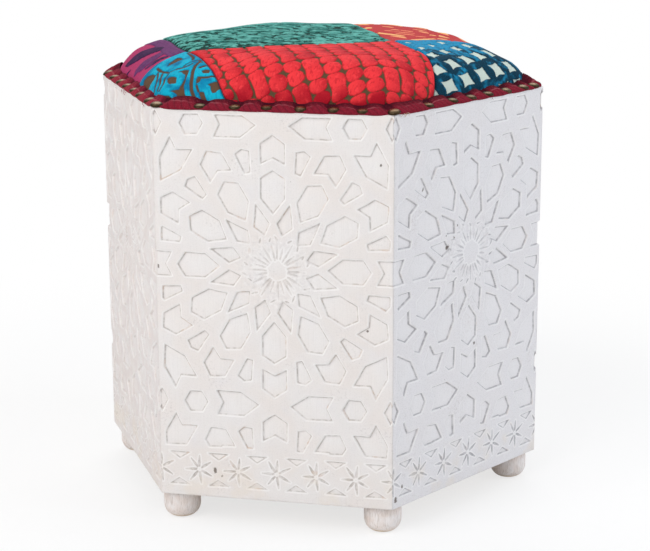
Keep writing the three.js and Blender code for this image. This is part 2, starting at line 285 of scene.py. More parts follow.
class Finish:
    """A material built round one Principled surface."""

    def __init__(self, name):
        self.material = bpy.data.materials.new(name)
        self.material.use_nodes = True
        self.tree = self.material.node_tree
        self.surface = self.tree.nodes["Principled BSDF"]

    def node(self, kind, settings=None, values=None, output=0):
        """Any node: its settings are set first, then the values or links of its sockets."""
        made = self.tree.nodes.new(kind)
        for setting, value in (settings or {}).items():
            if setting == "stops":
                self.set_stops(made.color_ramp, value)
            else:
                setattr(made, setting, value)
        named = enumerate(values) if isinstance(values, (list, tuple)) else (values or {}).items()
        for key, value in named:
            self.feed(self.find(made.inputs, key), value)
        return Reading(self, self.find(made.outputs, output))

    @staticmethod
    def find(sockets, key):
        if isinstance(key, int):
            return sockets[key]
        return next(socket for socket in sockets if key in (socket.identifier, socket.name))

    @staticmethod
    def set_stops(ramp, stops):
        while len(ramp.elements) < len(stops):
            ramp.elements.new(0.5)
        for element, (place, colour) in zip(ramp.elements, stops):
            element.position = place
            element.color = (*colour, 1)

    def feed(self, socket, value):
        if isinstance(value, Reading):
            self.tree.links.new(value.socket, socket)
        elif hasattr(socket.default_value, "__len__") and len(socket.default_value) == 4:
            socket.default_value = (*value, 1) if len(value) == 3 else value
        else:
            socket.default_value = value

    def surface_set(self, **values):
        for name, value in values.items():
            self.feed(self.find(self.surface.inputs, name.replace("_", " ")), value)

    def layer(self, name):
        """A number that the mesh holds on its points."""
        return self.node("ShaderNodeAttribute", {"attribute_name": name}, output="Fac")

    def place(self):
        return self.node("ShaderNodeTexCoord", output="Object")

    def stretched(self, vector, scale):
        return self.node("ShaderNodeMapping", {}, {"Vector": vector, "Scale": scale})

    def pair(self, x, y, z=0.0):
        return self.node("ShaderNodeCombineXYZ", {}, [x, y, z])

    def noise(self, vector, scale, detail=3.0, roughness=0.55):
        sockets = {"Vector": vector, "Scale": scale, "Detail": detail, "Roughness": roughness}
        return self.node("ShaderNodeTexNoise", {}, sockets, output="Fac")

    def cells(self, vector, scale):
        sockets = {"Vector": vector, "Scale": scale}
        return self.node("ShaderNodeTexVoronoi", {}, sockets, output="Distance")

    def mix(self, share, first, second):
        """Two colours mixed by a share."""
        sockets = {"Factor_Float": share, "A_Color": first, "B_Color": second}
        return self.node("ShaderNodeMix", {"data_type": "RGBA"}, sockets, output="Result_Color")

    def band(self, reading, start, end):
        """Runs smoothly from 0 to 1 as a reading goes from start to end."""
        sockets = {"Value": reading, "From Min": start, "From Max": end}
        return self.node("ShaderNodeMapRange", {"interpolation_type": "SMOOTHSTEP"}, sockets)

    def bump(self, height, depth, strength=1.0):
        """The normal of a surface that rises by depth, in millimetres, where height is 1."""
        sockets = {"Height": height, "Distance": depth * MM, "Strength": strength}
        self.surface_set(Normal=self.node("ShaderNodeBump", {}, sockets))


# Whitewashed, lightly worn wood: the carved sides and the turned feet

# Dark chips in the paint of a side: place across from its middle, height, and size
MARKS = {
    0: [(-59, 27, 3.0), (-111, 225, 2.0), (88, 173, 1.6), (100, 328, 1.6), (-52, 22, 1.6)],
    1: [
        (-34, 239, 2.8), (-25, 247, 1.7), (-37, 251, 1.3), (-20, 258, 1.2), (8, 137, 2.2),
        (-108, 9, 3.0), (-70, 300, 1.8), (-99, 20, 2.0),
    ],
}

WHITEWASH = (0.80, 0.77, 0.755)
WHITEWASH_WARM = (0.80, 0.75, 0.72)
WHITEWASH_COOL_TONE_AND_SHADE = (0.775, 0.757, 0.775)
CREASE_SHADE_GREY = (0.34, 0.29, 0.26)
CREASE_RUST = (0.50, 0.31, 0.19)
CREASE_SHADE_COOL = (0.33, 0.33, 0.37)
THICK_PAINT_AND_HIGHLIGHT = (0.93, 0.915, 0.905)
FLECK_BROWN = (0.10, 0.07, 0.05)
STAIN_CREAM = (0.80, 0.70, 0.58)
BLUSH_PATCH = (0.74, 0.66, 0.64)
GRAIN_GREY = (0.64, 0.59, 0.56)
SPECKLE_GREY = (0.62, 0.58, 0.56)
PEBBLE_GREY = (0.56, 0.54, 0.54)
CLOT_GREY = (0.55, 0.53, 0.53)
SCUFF_GREY = (0.50, 0.46, 0.44)
DRY_STREAK = (0.56, 0.52, 0.49)
WORN_RIM = (0.62, 0.47, 0.40)
FOOT_WHITE = (0.84, 0.79, 0.77)
FOOT_BLUSH = (0.78, 0.69, 0.64)
FOOT_GRAIN = (0.50, 0.42, 0.37)
NECK_BROWN = (0.30, 0.20, 0.15)
SOLE_WOOD = (0.60, 0.44, 0.26)
# Heights on a foot between which the paint turns brown at the neck, and bare wood at the sole
NECK_STAIN = (25.0, 27.6)
SOLE_WEAR = (1.0, 5.0)


def whitewashed_side():
    """Brushed limewash over grained wood, with painted shade and some dirt in the creases of the carving,
    and chipped in places.
    """
    finish = Finish("whitewashed_carving")
    across, up = finish.layer("across"), finish.layer("up")
    rim, side = finish.layer("rim"), finish.layer("side")
    flat = finish.pair(across, up, side * 61.0)
    grain = finish.noise(finish.stretched(flat, (0.9, 0.035, 1.0)), 1.0, 4.0, 0.6)
    cloud = finish.noise(flat, 0.018, 2.0)
    blush = finish.noise(flat, 0.031, 2.0)
    patchy = finish.noise(flat, 0.11, 3.0)
    fine = finish.noise(flat, 0.45, 4.0, 0.65)
    pebbled = finish.noise(flat, 0.85, 2.0, 0.5)
    # The left side gets blush patches and fainter crease shade, and the right side a cooler, slightly darker
    # tint, painted shade for the cooler light that falls on it
    left = finish.band(side, 4.4, 4.6)
    right = finish.band(side, 0.4, 0.6) * (1 - finish.band(side, 1.4, 1.6))
    colour = finish.mix(finish.band(cloud, 0.38, 0.62), WHITEWASH, WHITEWASH_WARM)
    colour = finish.mix(finish.band(blush, 0.50, 0.75) * 0.4, colour, WHITEWASH_COOL_TONE_AND_SHADE)
    # Painted cool shade over all of the right side
    colour = finish.mix(right * 0.75, colour, WHITEWASH_COOL_TONE_AND_SHADE)
    colour = finish.mix(left * finish.band(patchy, 0.35, 0.62) * 0.55, colour, BLUSH_PATCH)
    colour = finish.mix(finish.band(grain, 0.48, 0.72) * 0.13, colour, GRAIN_GREY)
    colour = finish.mix(finish.band(fine, 0.50, 0.72) * 0.18, colour, SPECKLE_GREY)
    pebbles = finish.band(pebbled, 0.52, 0.68) * (0.16 + right * 0.20)
    colour = finish.mix(pebbles, colour, PEBBLE_GREY)
    # Round the fine star the paint has clotted, and is white on its lumps and grey between them
    clotted = finish.layer("clotted")
    between = finish.band(finish.noise(flat, 0.30, 3.0, 0.6), 0.48, 0.64)
    colour = finish.mix(clotted * between * 0.32, colour, CLOT_GREY)
    lumps = finish.band(finish.noise(flat, 0.24, 2.0), 0.52, 0.66)
    colour = finish.mix(clotted * lumps * 0.45, colour, THICK_PAINT_AND_HIGHLIGHT)
    scuffed = finish.band(finish.noise(flat, 0.021, 2.0), 0.54, 0.66) * finish.band(fine, 0.53, 0.64)
    colour = finish.mix(scuffed * 0.30, colour, SCUFF_GREY)
    # Painted shade along the foot of each cut wall, just inside its rim, broken up and brown with dirt in
    # places; it is stronger and cool grey on the right side, and faint on the left side
    crease_shade = finish.band(rim, -1.35, -0.85) * (1 - finish.band(rim, -0.35, 0.10))
    gaps = finish.band(finish.noise(flat, 0.16, 4.0, 0.6), 0.40, 0.60)
    rusty = finish.band(finish.noise(flat, 0.05, 2.0), 0.58, 0.66)
    crease_shade_colour = finish.mix(rusty * (1 - right * 0.7), CREASE_SHADE_GREY, CREASE_RUST)
    crease_shade_colour = finish.mix(right * 0.7, crease_shade_colour, CREASE_SHADE_COOL)
    crease_shade = crease_shade * (0.12 + gaps * 0.42 + right * 0.20) * (1 - left * 0.78)
    colour = finish.mix(crease_shade, colour, crease_shade_colour)
    # The floors of the cuts are lighter, with a few dry streaks
    floors = 1 - finish.band(rim, -1.6, -1.0)
    colour = finish.mix(floors * 0.20, colour, THICK_PAINT_AND_HIGHLIGHT)
    colour = finish.mix(floors * finish.band(grain, 0.45, 0.68) * 0.06, colour, DRY_STREAK)
    # A painted highlight along the upper rim of each cut, mostly left out where the paint has clotted
    rim_highlight = finish.band(rim, -0.1, 0.3) * (1 - finish.band(rim, 0.9, 1.6))
    colour = finish.mix(rim_highlight * (1 - clotted * 0.9) * 0.50, colour, THICK_PAINT_AND_HIGHLIGHT)
    worn = finish.band(rim, -0.4, 0.1) * (1 - finish.band(rim, 0.3, 1.0))
    worn = worn * finish.band(finish.noise(flat, 0.05, 3.0), 0.56, 0.72)
    colour = finish.mix(worn * 0.28, colour, WORN_RIM)
    # Chips through the paint, and a cream stain near the foot of the side
    chips = finish.cells(flat, 0.05)
    chip_size = finish.noise(flat, 0.09, 1.0)
    fleck = (1 - finish.band(chips, 0.010, 0.026)) * finish.band(chip_size, 0.52, 0.56)
    colour = finish.mix(fleck * 0.8, colour, FLECK_BROWN)
    mark = finish.band(finish.layer("mark") + (fine - 0.5) * 1.6, 0.50, 0.80)
    colour = finish.mix(mark * 0.85, colour, FLECK_BROWN)
    stain = (1 - finish.band(up, 15.0, 60.0)) * finish.band(finish.noise(flat, 0.03, 3.0), 0.46, 0.68)
    colour = finish.mix(stain * 0.4, colour, STAIN_CREAM)
    brushed = finish.noise(finish.stretched(flat, (1.6, 0.12, 1.0)), 1.0, 3.0, 0.6)
    finish.surface_set(Base_Color=colour, Roughness=0.62 + patchy * 0.25)
    finish.bump(brushed * 0.3 + patchy * 0.3 + fine * 0.4 + pebbled * 0.5, 0.5, 0.7)
    return finish.material


def whitewashed_foot():
    """The same paint on a turned foot: brown at the neck and rubbed to bare wood at the sole."""
    finish = Finish("whitewashed_turning")
    height = finish.layer("up")
    place = finish.place()
    grain = finish.noise(finish.stretched(place, (1.0, 1.0, 0.12)), 900.0, 3.0, 0.6)
    cloud = finish.noise(place, 90.0, 3.0)
    colour = finish.mix(finish.band(cloud, 0.35, 0.65), FOOT_WHITE, FOOT_BLUSH)
    colour = finish.mix(finish.band(grain, 0.48, 0.66) * 0.55, colour, FOOT_GRAIN)
    neck = finish.band(height + (cloud - 0.5) * 4.0, *NECK_STAIN)
    colour = finish.mix(neck * 0.75, colour, NECK_BROWN)
    sole = 1 - finish.band(height + (cloud - 0.5) * 5.0, *SOLE_WEAR)
    colour = finish.mix(sole * 0.8, colour, SOLE_WOOD)
    finish.surface_set(Base_Color=colour, Roughness=0.68)
    finish.bump(grain, 0.25, 0.6)
    return finish.material


def sawn_wood(name, light, dark, direction):
    """Bare wood with grain along one axis, for the frame and the boards inside."""
    finish = Finish(name)
    place = finish.place()
    stretch = tuple(0.06 if axis == direction else 1.0 for axis in range(3))
    grain = finish.noise(finish.stretched(place, stretch), 260.0, 5.0, 0.62)
    rings = finish.noise(finish.stretched(place, stretch), 45.0, 2.0)
    colour = finish.mix(finish.band(grain, 0.35, 0.68), light, dark)
    colour = finish.mix(finish.band(rings, 0.45, 0.60) * 0.35, colour, dark)
    finish.surface_set(Base_Color=colour, Roughness=0.78)
    finish.bump(grain, 0.3, 0.7)
    return finish.material


# Carved sides

# Outlines of the recesses, along and across a ray of the star, or across and up from its middle
KITE_SHARES = [(0.506, 0), (0.333, 0.064), (0.255, 0), (0.333, -0.064)]
PETAL_SHARES = [
    (0.739, 0), (0.677, 0.094), (0.522, 0.094), (0.408, 0), (0.522, -0.094), (0.677, -0.094),
]
HOUSE_SHARES = [
    (1, 0), (0.934, 0.096), (0.779, 0.094), (0.827, 0), (0.779, -0.094), (0.934, -0.096),
]
DART_SHARES = [(0.918, 0), (0.892, 0.058), (0.733, 0.024), (0.733, -0.024), (0.892, -0.058)]
SHIELD_SHARES = [
    (0.773, 0.968), (0.727, 0.869), (0.602, 0.873), (0.693, 0.713), (0.853, 0.627), (0.863, 0.803),
]
ARROW_SHARES = [
    (0.12, 0), (0.241, -0.096), (0.446, -0.096), (0.402, 0), (0.452, 0.096), (0.261, 0.093),
]
RHOMBUS_SHARES = [(0.934, 0), (0.884, 0.094), (0.834, 0), (0.884, -0.094)]
HEXAGON_MIDDLE_SHARE = 0.612
HEXAGON_RADIUS_SHARE = 0.094
MEETING_SHARE = 1.066

QUARTERS = [(1, 1), (-1, 1), (-1, -1), (1, -1)]


def rays(first, count):
    return [first + index * TURN / count for index in range(count)]


def ray_recess(shares, angle, middle):
    """An outline given along and across a ray from the middle of a star."""
    cosine, sine = math.cos(angle) * STAR_REACH, math.sin(angle) * STAR_REACH
    return [(a * cosine - b * sine, a * sine + b * cosine + middle) for a, b in shares]


def quarter_recess(shares, sign_x, sign_y, middle):
    return [(sign_x * a * STAR_REACH, sign_y * b * STAR_REACH + middle) for a, b in shares]


def ring_recesses(middle):
    """The outer ring of a star, without the two houses that run out over the upright edges."""
    between = TURN / STAR_FOLD / 2
    slanting = [angle for angle in rays(0, STAR_FOLD) if abs(math.sin(angle)) > 0.1]
    return (
        [ray_recess(HOUSE_SHARES, angle, middle) for angle in slanting]
        + [ray_recess(DART_SHARES, angle, middle) for angle in rays(between, STAR_FOLD)]
        + [quarter_recess(SHIELD_SHARES, *signs, middle) for signs in QUARTERS]
    )


def star_recesses(middle):
    between = TURN / STAR_FOLD / 2
    return (
        [ray_recess(KITE_SHARES, angle, middle) for angle in rays(between, STAR_FOLD)]
        + [ray_recess(PETAL_SHARES, angle, middle) for angle in rays(0, STAR_FOLD)]
        + ring_recesses(middle)
    )


def meeting_recesses(line):
    hexagon = [
        (HEXAGON_MIDDLE_SHARE + HEXAGON_RADIUS_SHARE * math.cos(a), HEXAGON_RADIUS_SHARE * math.sin(a))
        for a in rays(0, 6)
    ]
    outlines = []
    for sign in (1, -1):
        for shares in (ARROW_SHARES, hexagon):
            outlines.append(quarter_recess(shares, sign, 1, line))
    return outlines


def side_recesses():
    middle = PANEL_HEIGHT - STAR_DROP
    to_meeting = MEETING_SHARE * STAR_REACH
    return (
        star_recesses(middle)
        + ring_recesses(middle - 2 * to_meeting)
        + meeting_recesses(middle + to_meeting)
        + meeting_recesses(middle - to_meeting)
    )


def edge_recesses():
    """The recesses that run out over the upright edges."""
    middle = PANEL_HEIGHT - STAR_DROP
    to_meeting = MEETING_SHARE * STAR_REACH
    houses = [ray_recess(HOUSE_SHARES, angle, middle) for angle in (0, math.pi)]
    lines = (middle + to_meeting, middle - to_meeting)
    return houses + [quarter_recess(RHOMBUS_SHARES, sign, 1, line) for line in lines for sign in (1, -1)]


# Chip-cut grooves: the fine star in the middle, and the row of small stars along the foot

BAND_STAR_PITCH = 38.0
BAND_STAR_HEIGHT = 27.5
BAND_STARS_EACH_WAY = 3
BAND_SPOKE_ANGLES = (180, 125, 85, 30, -30, -85, -130)
BAND_STAR_ASIDE = 1.5
BAND_SPOKE_START, BAND_SPOKE_END = 3.0, 14.0
BAND_SPOKE_WIDTH = 2.2
BAND_TRIANGLE_HALF = 10.5
BAND_TRIANGLE_HEIGHT = 7.0
BAND_TRIANGLE_LEAN = 1.0
BAND_TOP, BAND_BOTTOM = 44.0, 11.0
# How far the carver's fine middle star lies off the star's own middle, on each side
MIDDLE_STAR_DRIFT = ((3.5, -1.8), (0.8, 0.6), (-1.2, 0.9), (1.0, -1.0), (-0.8, -0.6), (-1.5, 0.8))
MIDDLE_DISC_RADII = (9.5, 12.0, 11.0, 10.0, 12.0, 11.0)
# Long and short spokes of the fine star take turns, and short strokes lie round their tips
FINE_SPOKE_REACHES = (28.0, 23.0)
FINE_SPOKE_WIDTHS = (1.5, 2.2)
STROKE_COUNT = 18
STROKE_FIRST_ANGLE = 0.13
STROKE_STARTS = (26.0, 31.0)
STROKE_LENGTHS = (3.5, 6.5)
STROKE_SLANTS = (-0.8, 0.7)
STROKE_WIDTHS = (1.0, 1.45)
# The lowest rim distance in a groove. Lower gets more painted crease shade, and paint has half filled the
# spokes of the fine star, which get less.
FILLED_CREASE, OPEN_CREASE = -0.14, -1.5


def ray_point(middle, angle, reach):
    """The point that lies so far from another in one direction."""
    return middle[0] + reach * math.cos(angle), middle[1] + reach * math.sin(angle)


def fine_star_grooves(index, random):
    """Spokes round the middle disc of a side, then slanting chisel strokes round their tips."""
    drift_x, drift_z = MIDDLE_STAR_DRIFT[index]
    middle = (drift_x, PANEL_HEIGHT - STAR_DROP + drift_z)
    grooves = []
    for order, angle in enumerate(rays(0, 2 * STAR_FOLD)):
        reach = FINE_SPOKE_REACHES[order % 2] + random.uniform(-2.5, 2.0)
        begin = MIDDLE_DISC_RADII[index] + random.uniform(0.0, 2.5)
        angle += random.uniform(-0.05, 0.05)
        start, end = ray_point(middle, angle, begin), ray_point(middle, angle, reach)
        grooves.append((start, end, random.uniform(*FINE_SPOKE_WIDTHS), FILLED_CREASE))
    for angle in rays(STROKE_FIRST_ANGLE, STROKE_COUNT):
        begin = random.uniform(*STROKE_STARTS)
        angle += random.uniform(-0.08, 0.08)
        slant = angle + random.choice(STROKE_SLANTS) + random.uniform(-0.3, 0.3)
        length = random.uniform(*STROKE_LENGTHS)
        start = ray_point(middle, angle, begin)
        end = ray_point(start, slant, length)
        grooves.append((start, end, random.uniform(*STROKE_WIDTHS), OPEN_CREASE))
    return grooves


def band_star_grooves(random):
    """The spokes of the small stars in the row along the foot of a side."""
    grooves = []
    for column in range(-BAND_STARS_EACH_WAY, BAND_STARS_EACH_WAY + 1):
        middle = (column * BAND_STAR_PITCH + BAND_STAR_ASIDE, BAND_STAR_HEIGHT)
        for degrees in BAND_SPOKE_ANGLES:
            angle = math.radians(degrees + 6 * math.sin(3.1 * column) + random.uniform(-3, 3))
            reach = BAND_SPOKE_END + random.uniform(-1.0, 0.8)
            start, end = ray_point(middle, angle, BAND_SPOKE_START), ray_point(middle, angle, reach)
            grooves.append((start, end, BAND_SPOKE_WIDTH * random.uniform(0.9, 1.1), OPEN_CREASE))
    return grooves


def groove_list(index):
    """Each groove as start, end, width at its widest, which is nearer its start, and the lowest rim
    distance, which sets its painted crease shade.
    """
    random = np.random.default_rng(20 + index)
    return fine_star_grooves(index, random) + band_star_grooves(random)


def band_triangles():
    """The chips between the small stars, each with its deep edge first and its point last."""
    chips = []
    for column in range(-BAND_STARS_EACH_WAY, BAND_STARS_EACH_WAY):
        x = (column + 0.5) * BAND_STAR_PITCH + BAND_STAR_ASIDE
        upper_point = (x, BAND_TOP - BAND_TRIANGLE_HEIGHT)
        lower_point = (x - BAND_TRIANGLE_LEAN, BAND_BOTTOM + BAND_TRIANGLE_HEIGHT)
        for level, point in ((BAND_TOP, upper_point), (BAND_BOTTOM, lower_point)):
            chips.append([(x - BAND_TRIANGLE_HALF, level), (x + BAND_TRIANGLE_HALF, level), point])
    return chips


def window(lines, low, high):
    return slice(int(np.searchsorted(lines, low)), int(np.searchsorted(lines, high)))


def span(points, reach, across, up):
    """The part of the grid that lies round some points."""
    xs, zs = [x for x, z in points], [z for x, z in points]
    columns = window(across, min(xs) - reach, max(xs) + reach)
    return window(up, min(zs) - reach, max(zs) + reach), columns


# How the tools cut: walls as distances from a drawn outline, and depths
RECESS_DEPTH_SHARES = (0.78, 1.12)
RECESS_WALL = (-0.75, 0.40)
FLOOR_SAG = 0.25
FLOOR_SAG_WITHIN = (1.0, 6.0)
RIM_REACH = 8.0
TOOL_REACH = 3.0
GROOVE_WIDEST_SHARE = 0.35
GROOVE_TAPER_SHARE = 0.75
GROOVE_STEEPNESS = 1.35
GROOVE_SHOULDER = 0.35
CHIP_DEPTH = 1.7
CHIP_WALL = (-0.9, 0.3)
CHIP_LEAST_SHARE = 0.1
# Grooves, chips and unevenness fade out between these distances from the edges of a side
EDGE_FADE = (0.4, 2.0)
# How thickly the paint has clotted round the middle star of each side, and where it stops
CLOTTING = (0.75, 1.0, 0.6, 0.7, 0.5, 0.6)
CLOTTED_FROM_DISC = 5
CLOTTED_UNTIL = (30, 46)


def field_distance(x, z):
    """Distance to the edge of the field that the stars are cut in, negative inside it."""
    wide = (SIDE_WIDTH - FIELD_LEFT_MARGIN - FIELD_RIGHT_MARGIN) / 2
    aside = (FIELD_LEFT_MARGIN - FIELD_RIGHT_MARGIN) / 2
    middle = (FIELD_BOTTOM_MARGIN + PANEL_HEIGHT - FIELD_TOP_MARGIN) / 2
    half = (PANEL_HEIGHT - FIELD_TOP_MARGIN - FIELD_BOTTOM_MARGIN) / 2
    return box_distance(x - aside, z - middle, wide, half)


def edge_gap(x, z):
    """Distance from the nearest edge of a side."""
    return np.minimum(SIDE_WIDTH / 2 - np.abs(x), np.minimum(z, PANEL_HEIGHT - z))


def clotted_paint(x, z, index, seed):
    """How thickly paint has clotted round the middle star, and the lumps that it makes."""
    middle_x, middle_z = MIDDLE_STAR_DRIFT[index]
    out = np.hypot(x - middle_x, z - (PANEL_HEIGHT - STAR_DROP + middle_z))
    disc = MIDDLE_DISC_RADII[index]
    ring = smooth_step(out, disc, disc + CLOTTED_FROM_DISC) * (1 - smooth_step(out, *CLOTTED_UNTIL))
    clotted = CLOTTING[index] * ring * smooth_step(lattice_noise(x, z, 12.0, seed), -0.7, 0.3)
    lumps = 0.60 * np.abs(lattice_noise(x, z, 5.0, seed + 1)) + 0.34 * lattice_noise(x, z, 2.6, seed + 2)
    return clotted, lumps


def carve(across, up, index):
    """Depth of the carving, distance to the nearest rim and clotted paint, over a grid of one side."""
    x, z = np.meshgrid(across, up)
    seed = 40 + 7 * index
    drift_x = unevenness(x, z, (0.30, 17.0, seed), (0.12, 5.0, seed + 1))
    drift_z = unevenness(x, z, (0.30, 17.0, seed + 2), (0.12, 5.0, seed + 3))
    field = field_distance(x, z)
    fade = smooth_step(edge_gap(x, z), *EDGE_FADE)
    rim, depth = np.full(x.shape, RIM_REACH), np.zeros(x.shape)

    def drawn(part):
        return x[part] + drift_x[part], z[part] + drift_z[part]

    def cut(part, deep, distance):
        rim[part] = np.minimum(rim[part], distance)
        depth[part] = np.maximum(depth[part], deep)

    random = np.random.default_rng(seed)
    recesses = [(outline, True) for outline in side_recesses()]
    recesses += [(outline, False) for outline in edge_recesses()]
    for outline, trimmed in recesses:
        deep = CARVING_DEPTH * random.uniform(*RECESS_DEPTH_SHARES)
        part = span(outline, RIM_REACH, across, up)
        distance = outline_distance(*drawn(part), outline)
        if trimmed:
            distance = np.maximum(distance, field[part] + drift_x[part])
        floor = deep * (1 - smooth_step(distance, *RECESS_WALL))
        cut(part, floor - FLOOR_SAG * smooth_step(-distance, *FLOOR_SAG_WITHIN), distance)
    for start, end, width, crease_shade in groove_list(index):
        part = span((start, end), TOOL_REACH, across, up)
        distance, along = segment_distance(*drawn(part), start, end)
        off_widest = np.abs(along - GROOVE_WIDEST_SHARE) / (1 - GROOVE_WIDEST_SHARE)
        half = width / 2 * (1 - GROOVE_TAPER_SHARE * off_widest)
        deep = GROOVE_STEEPNESS * np.clip(half - distance, 0, None) * fade[part]
        cut(part, deep, np.maximum(distance - half - GROOVE_SHOULDER, crease_shade))
    for chip in band_triangles():
        part = span(chip, TOOL_REACH, across, up)
        distance = outline_distance(*drawn(part), chip)
        to_deep_edge = segment_distance(x[part], z[part], chip[0], chip[1])[0]
        slope = np.clip(1 - to_deep_edge / BAND_TRIANGLE_HEIGHT, CHIP_LEAST_SHARE, 1)
        cut(part, CHIP_DEPTH * slope * (1 - smooth_step(distance, *CHIP_WALL)) * fade[part], distance)
    clotted, lumps = clotted_paint(x, z, index, seed + 4)
    return depth + clotted * lumps, rim, clotted


# A rounded edge is drawn by points on its arc: how far each lies from the sharp edge, and how deep.
# The upright edges turn by half the angle between two sides, and the level ones by a right angle.
UPRIGHT_ARC = np.radians([30, 20, 10, 0])
UPRIGHT_OFFSETS = CORNER_ROUNDING * math.tan(UPRIGHT_ARC[0]) - CORNER_ROUNDING * np.sin(UPRIGHT_ARC)
UPRIGHT_DEPTHS = CORNER_ROUNDING * (1 - np.cos(UPRIGHT_ARC))
LEVEL_ARC = np.radians([90, 60, 30, 0])
LEVEL_OFFSETS = EDGE_ROUNDING * (1 - np.sin(LEVEL_ARC))
LEVEL_DEPTHS = EDGE_ROUNDING * (1 - np.cos(LEVEL_ARC))
NICK_DEPTH = 2.2
NICK_LEVEL = 0.45
NICKS_WITHIN = (0.5, 3.5)
NICKS_FROM = (0.0, 0.6)
DRAWN_IN_WITHIN = 6.0
MARK_STRETCH = 1.3


def rounded_lines(length, offsets):
    """Grid lines over a length, closer at its rounded ends."""
    low, high = offsets[-1], length - offsets[-1]
    count = int(round((high - low) / GRID_STEP))
    return np.concatenate([offsets[:-1], np.linspace(low, high, count + 1), length - offsets[-2::-1]])


def rounded_edges(shape):
    """How far the face of a side falls back along its four edges."""
    fall = np.zeros(shape)
    count = len(UPRIGHT_DEPTHS)
    fall[:, :count] += UPRIGHT_DEPTHS
    fall[:, -count:] += UPRIGHT_DEPTHS[::-1]
    fall[:count, :] = np.maximum(fall[:count, :], LEVEL_DEPTHS[:, None])
    fall[-count:, :] = np.maximum(fall[-count:, :], LEVEL_DEPTHS[::-1, None])
    return fall


def paint_marks(x, z, index):
    """1 at the middle of each dark chip in the paint of a side."""
    mark = np.zeros(x.shape)
    for mark_x, mark_z, size in MARKS.get(index, ()):
        off = ((x - mark_x) / size) ** 2 + ((z - mark_z) / (MARK_STRETCH * size)) ** 2
        mark = np.maximum(mark, np.exp(-off))
    return mark


def mitred_shell(front):
    """Points and faces of a side: the grid of its face, its mitred edges and its flat back."""
    rows, columns = front.shape[:2]
    number = np.arange(rows * columns).reshape(rows, columns)
    ring = np.concatenate([number[0, :-1], number[:-1, -1], number[-1, :0:-1], number[:0:-1, 0]])
    back = front.reshape(-1, 3)[ring].copy()
    back[:, 0] *= 1 - PANEL_THICKNESS * math.tan(SIDE_TURN / 2) / (SIDE_WIDTH / 2)
    back[:, 1] = PANEL_THICKNESS - APOTHEM
    behind = rows * columns + np.arange(len(ring))
    wall = np.stack([np.roll(ring, -1), ring, behind, np.roll(behind, -1)], -1)
    faces = list(grid_faces(rows, columns)) + list(wall) + [behind[::-1]]
    return np.concatenate([front.reshape(-1, 3), back]), faces


def carved_side(index, material):
    """One mitred side with its carving in relief, closed at the back."""
    across = rounded_lines(SIDE_WIDTH, UPRIGHT_OFFSETS) - SIDE_WIDTH / 2
    up = rounded_lines(PANEL_HEIGHT, LEVEL_OFFSETS)
    depth, rim, clotted = carve(across, up, index)
    x, z = np.meshgrid(across, up)
    gap = edge_gap(x, z)
    uneven = unevenness(x, z, (0.14, 38.0, 90 + index), (0.05, 6.0, 95 + index))
    depth = depth + uneven * smooth_step(gap, *EDGE_FADE)
    nick = np.clip(lattice_noise(z, x, 9.0, 120 + index) - NICK_LEVEL, 0, 1) * NICK_DEPTH
    nick = nick * (1 - smooth_step(gap, *NICKS_WITHIN)) * smooth_step(gap, *NICKS_FROM)
    depth = depth + rounded_edges(x.shape) + nick
    # Where a cut runs out over the upright edge, the edge draws in along the mitre
    near_edge = 1 - smooth_step(SIDE_WIDTH / 2 - np.abs(x), 0.0, DRAWN_IN_WITHIN)
    drawn_in = np.where(x > 0, depth[:, -1:], depth[:, :1]) * math.tan(SIDE_TURN / 2)
    x = x - np.sign(x) * drawn_in * near_edge
    points, faces = mitred_shell(np.stack([x, depth - APOTHEM, z + PANEL_BOTTOM], -1))
    back = points[x.size:]
    plain = np.zeros(len(back))
    layers = {
        "mark": np.append(paint_marks(x, z, index), plain),
        "across": np.append(x, back[:, 0]),
        "up": np.append(z, back[:, 2] - PANEL_BOTTOM),
        "rim": np.append(np.clip(rim, -RIM_REACH, RIM_REACH), plain + RIM_REACH),
        "clotted": np.append(clotted, plain),
        "side": np.full(len(points), float(index)),
    }
    placed = turn_about_z(points, index * SIDE_TURN)
    piece = make_piece(f"carved_side_{index + 1}", placed, faces, layers, materials=[material])
    return dress(piece, "carved_wood", f"side_panel_{index + 1}")


# Turned feet

FOOT_RADIUS = (FOOT_HIGH[1] - FOOT_LOW[1]) / 2
FOOT_AXIS = (FOOT_HIGH[0] + FOOT_LOW[0]) / 2
FOOT_NECK_HEIGHT = PANEL_BOTTOM - GLUE_GAP
FOOT_SOLE_RADIUS = 7.6
FOOT_SOLE_FLAT_SHARE = 0.6
FOOT_ROUNDING_HEIGHT = 12.5
FOOT_NECK_RADIUS = 16.8
FOOT_NECK_SHARES = (0.25, 0.5, 0.75, 0.9, 0.97, 1.0)
FOOT_ARC_STEPS = 15
FOOT_STEPS = 72
FOOT_WOBBLE_SHARE = 0.008
TENON_RADIUS = 6.0
TENON_CHAMFER = 1.5


def foot_profile():
    """Radius and height of a foot, from the middle of its sole to the middle of its tenon's end."""
    profile = [(0.0, 0.0), (FOOT_SOLE_RADIUS * FOOT_SOLE_FLAT_SHARE, 0.0)]
    for angle in np.linspace(0, math.pi / 2, FOOT_ARC_STEPS):
        radius = FOOT_SOLE_RADIUS + (FOOT_RADIUS - FOOT_SOLE_RADIUS) * math.sin(angle)
        profile.append((radius, FOOT_ROUNDING_HEIGHT * (1 - math.cos(angle))))
    for share in FOOT_NECK_SHARES:
        height = FOOT_ROUNDING_HEIGHT + (FOOT_NECK_HEIGHT - FOOT_ROUNDING_HEIGHT) * share
        profile.append((FOOT_RADIUS - (FOOT_RADIUS - FOOT_NECK_RADIUS) * share ** 4, height))
    tenon_top = FOOT_HIGH[2]
    profile += [(TENON_RADIUS, FOOT_NECK_HEIGHT), (TENON_RADIUS, tenon_top - TENON_CHAMFER)]
    return profile + [(TENON_RADIUS - TENON_CHAMFER, tenon_top), (0.0, tenon_top)]


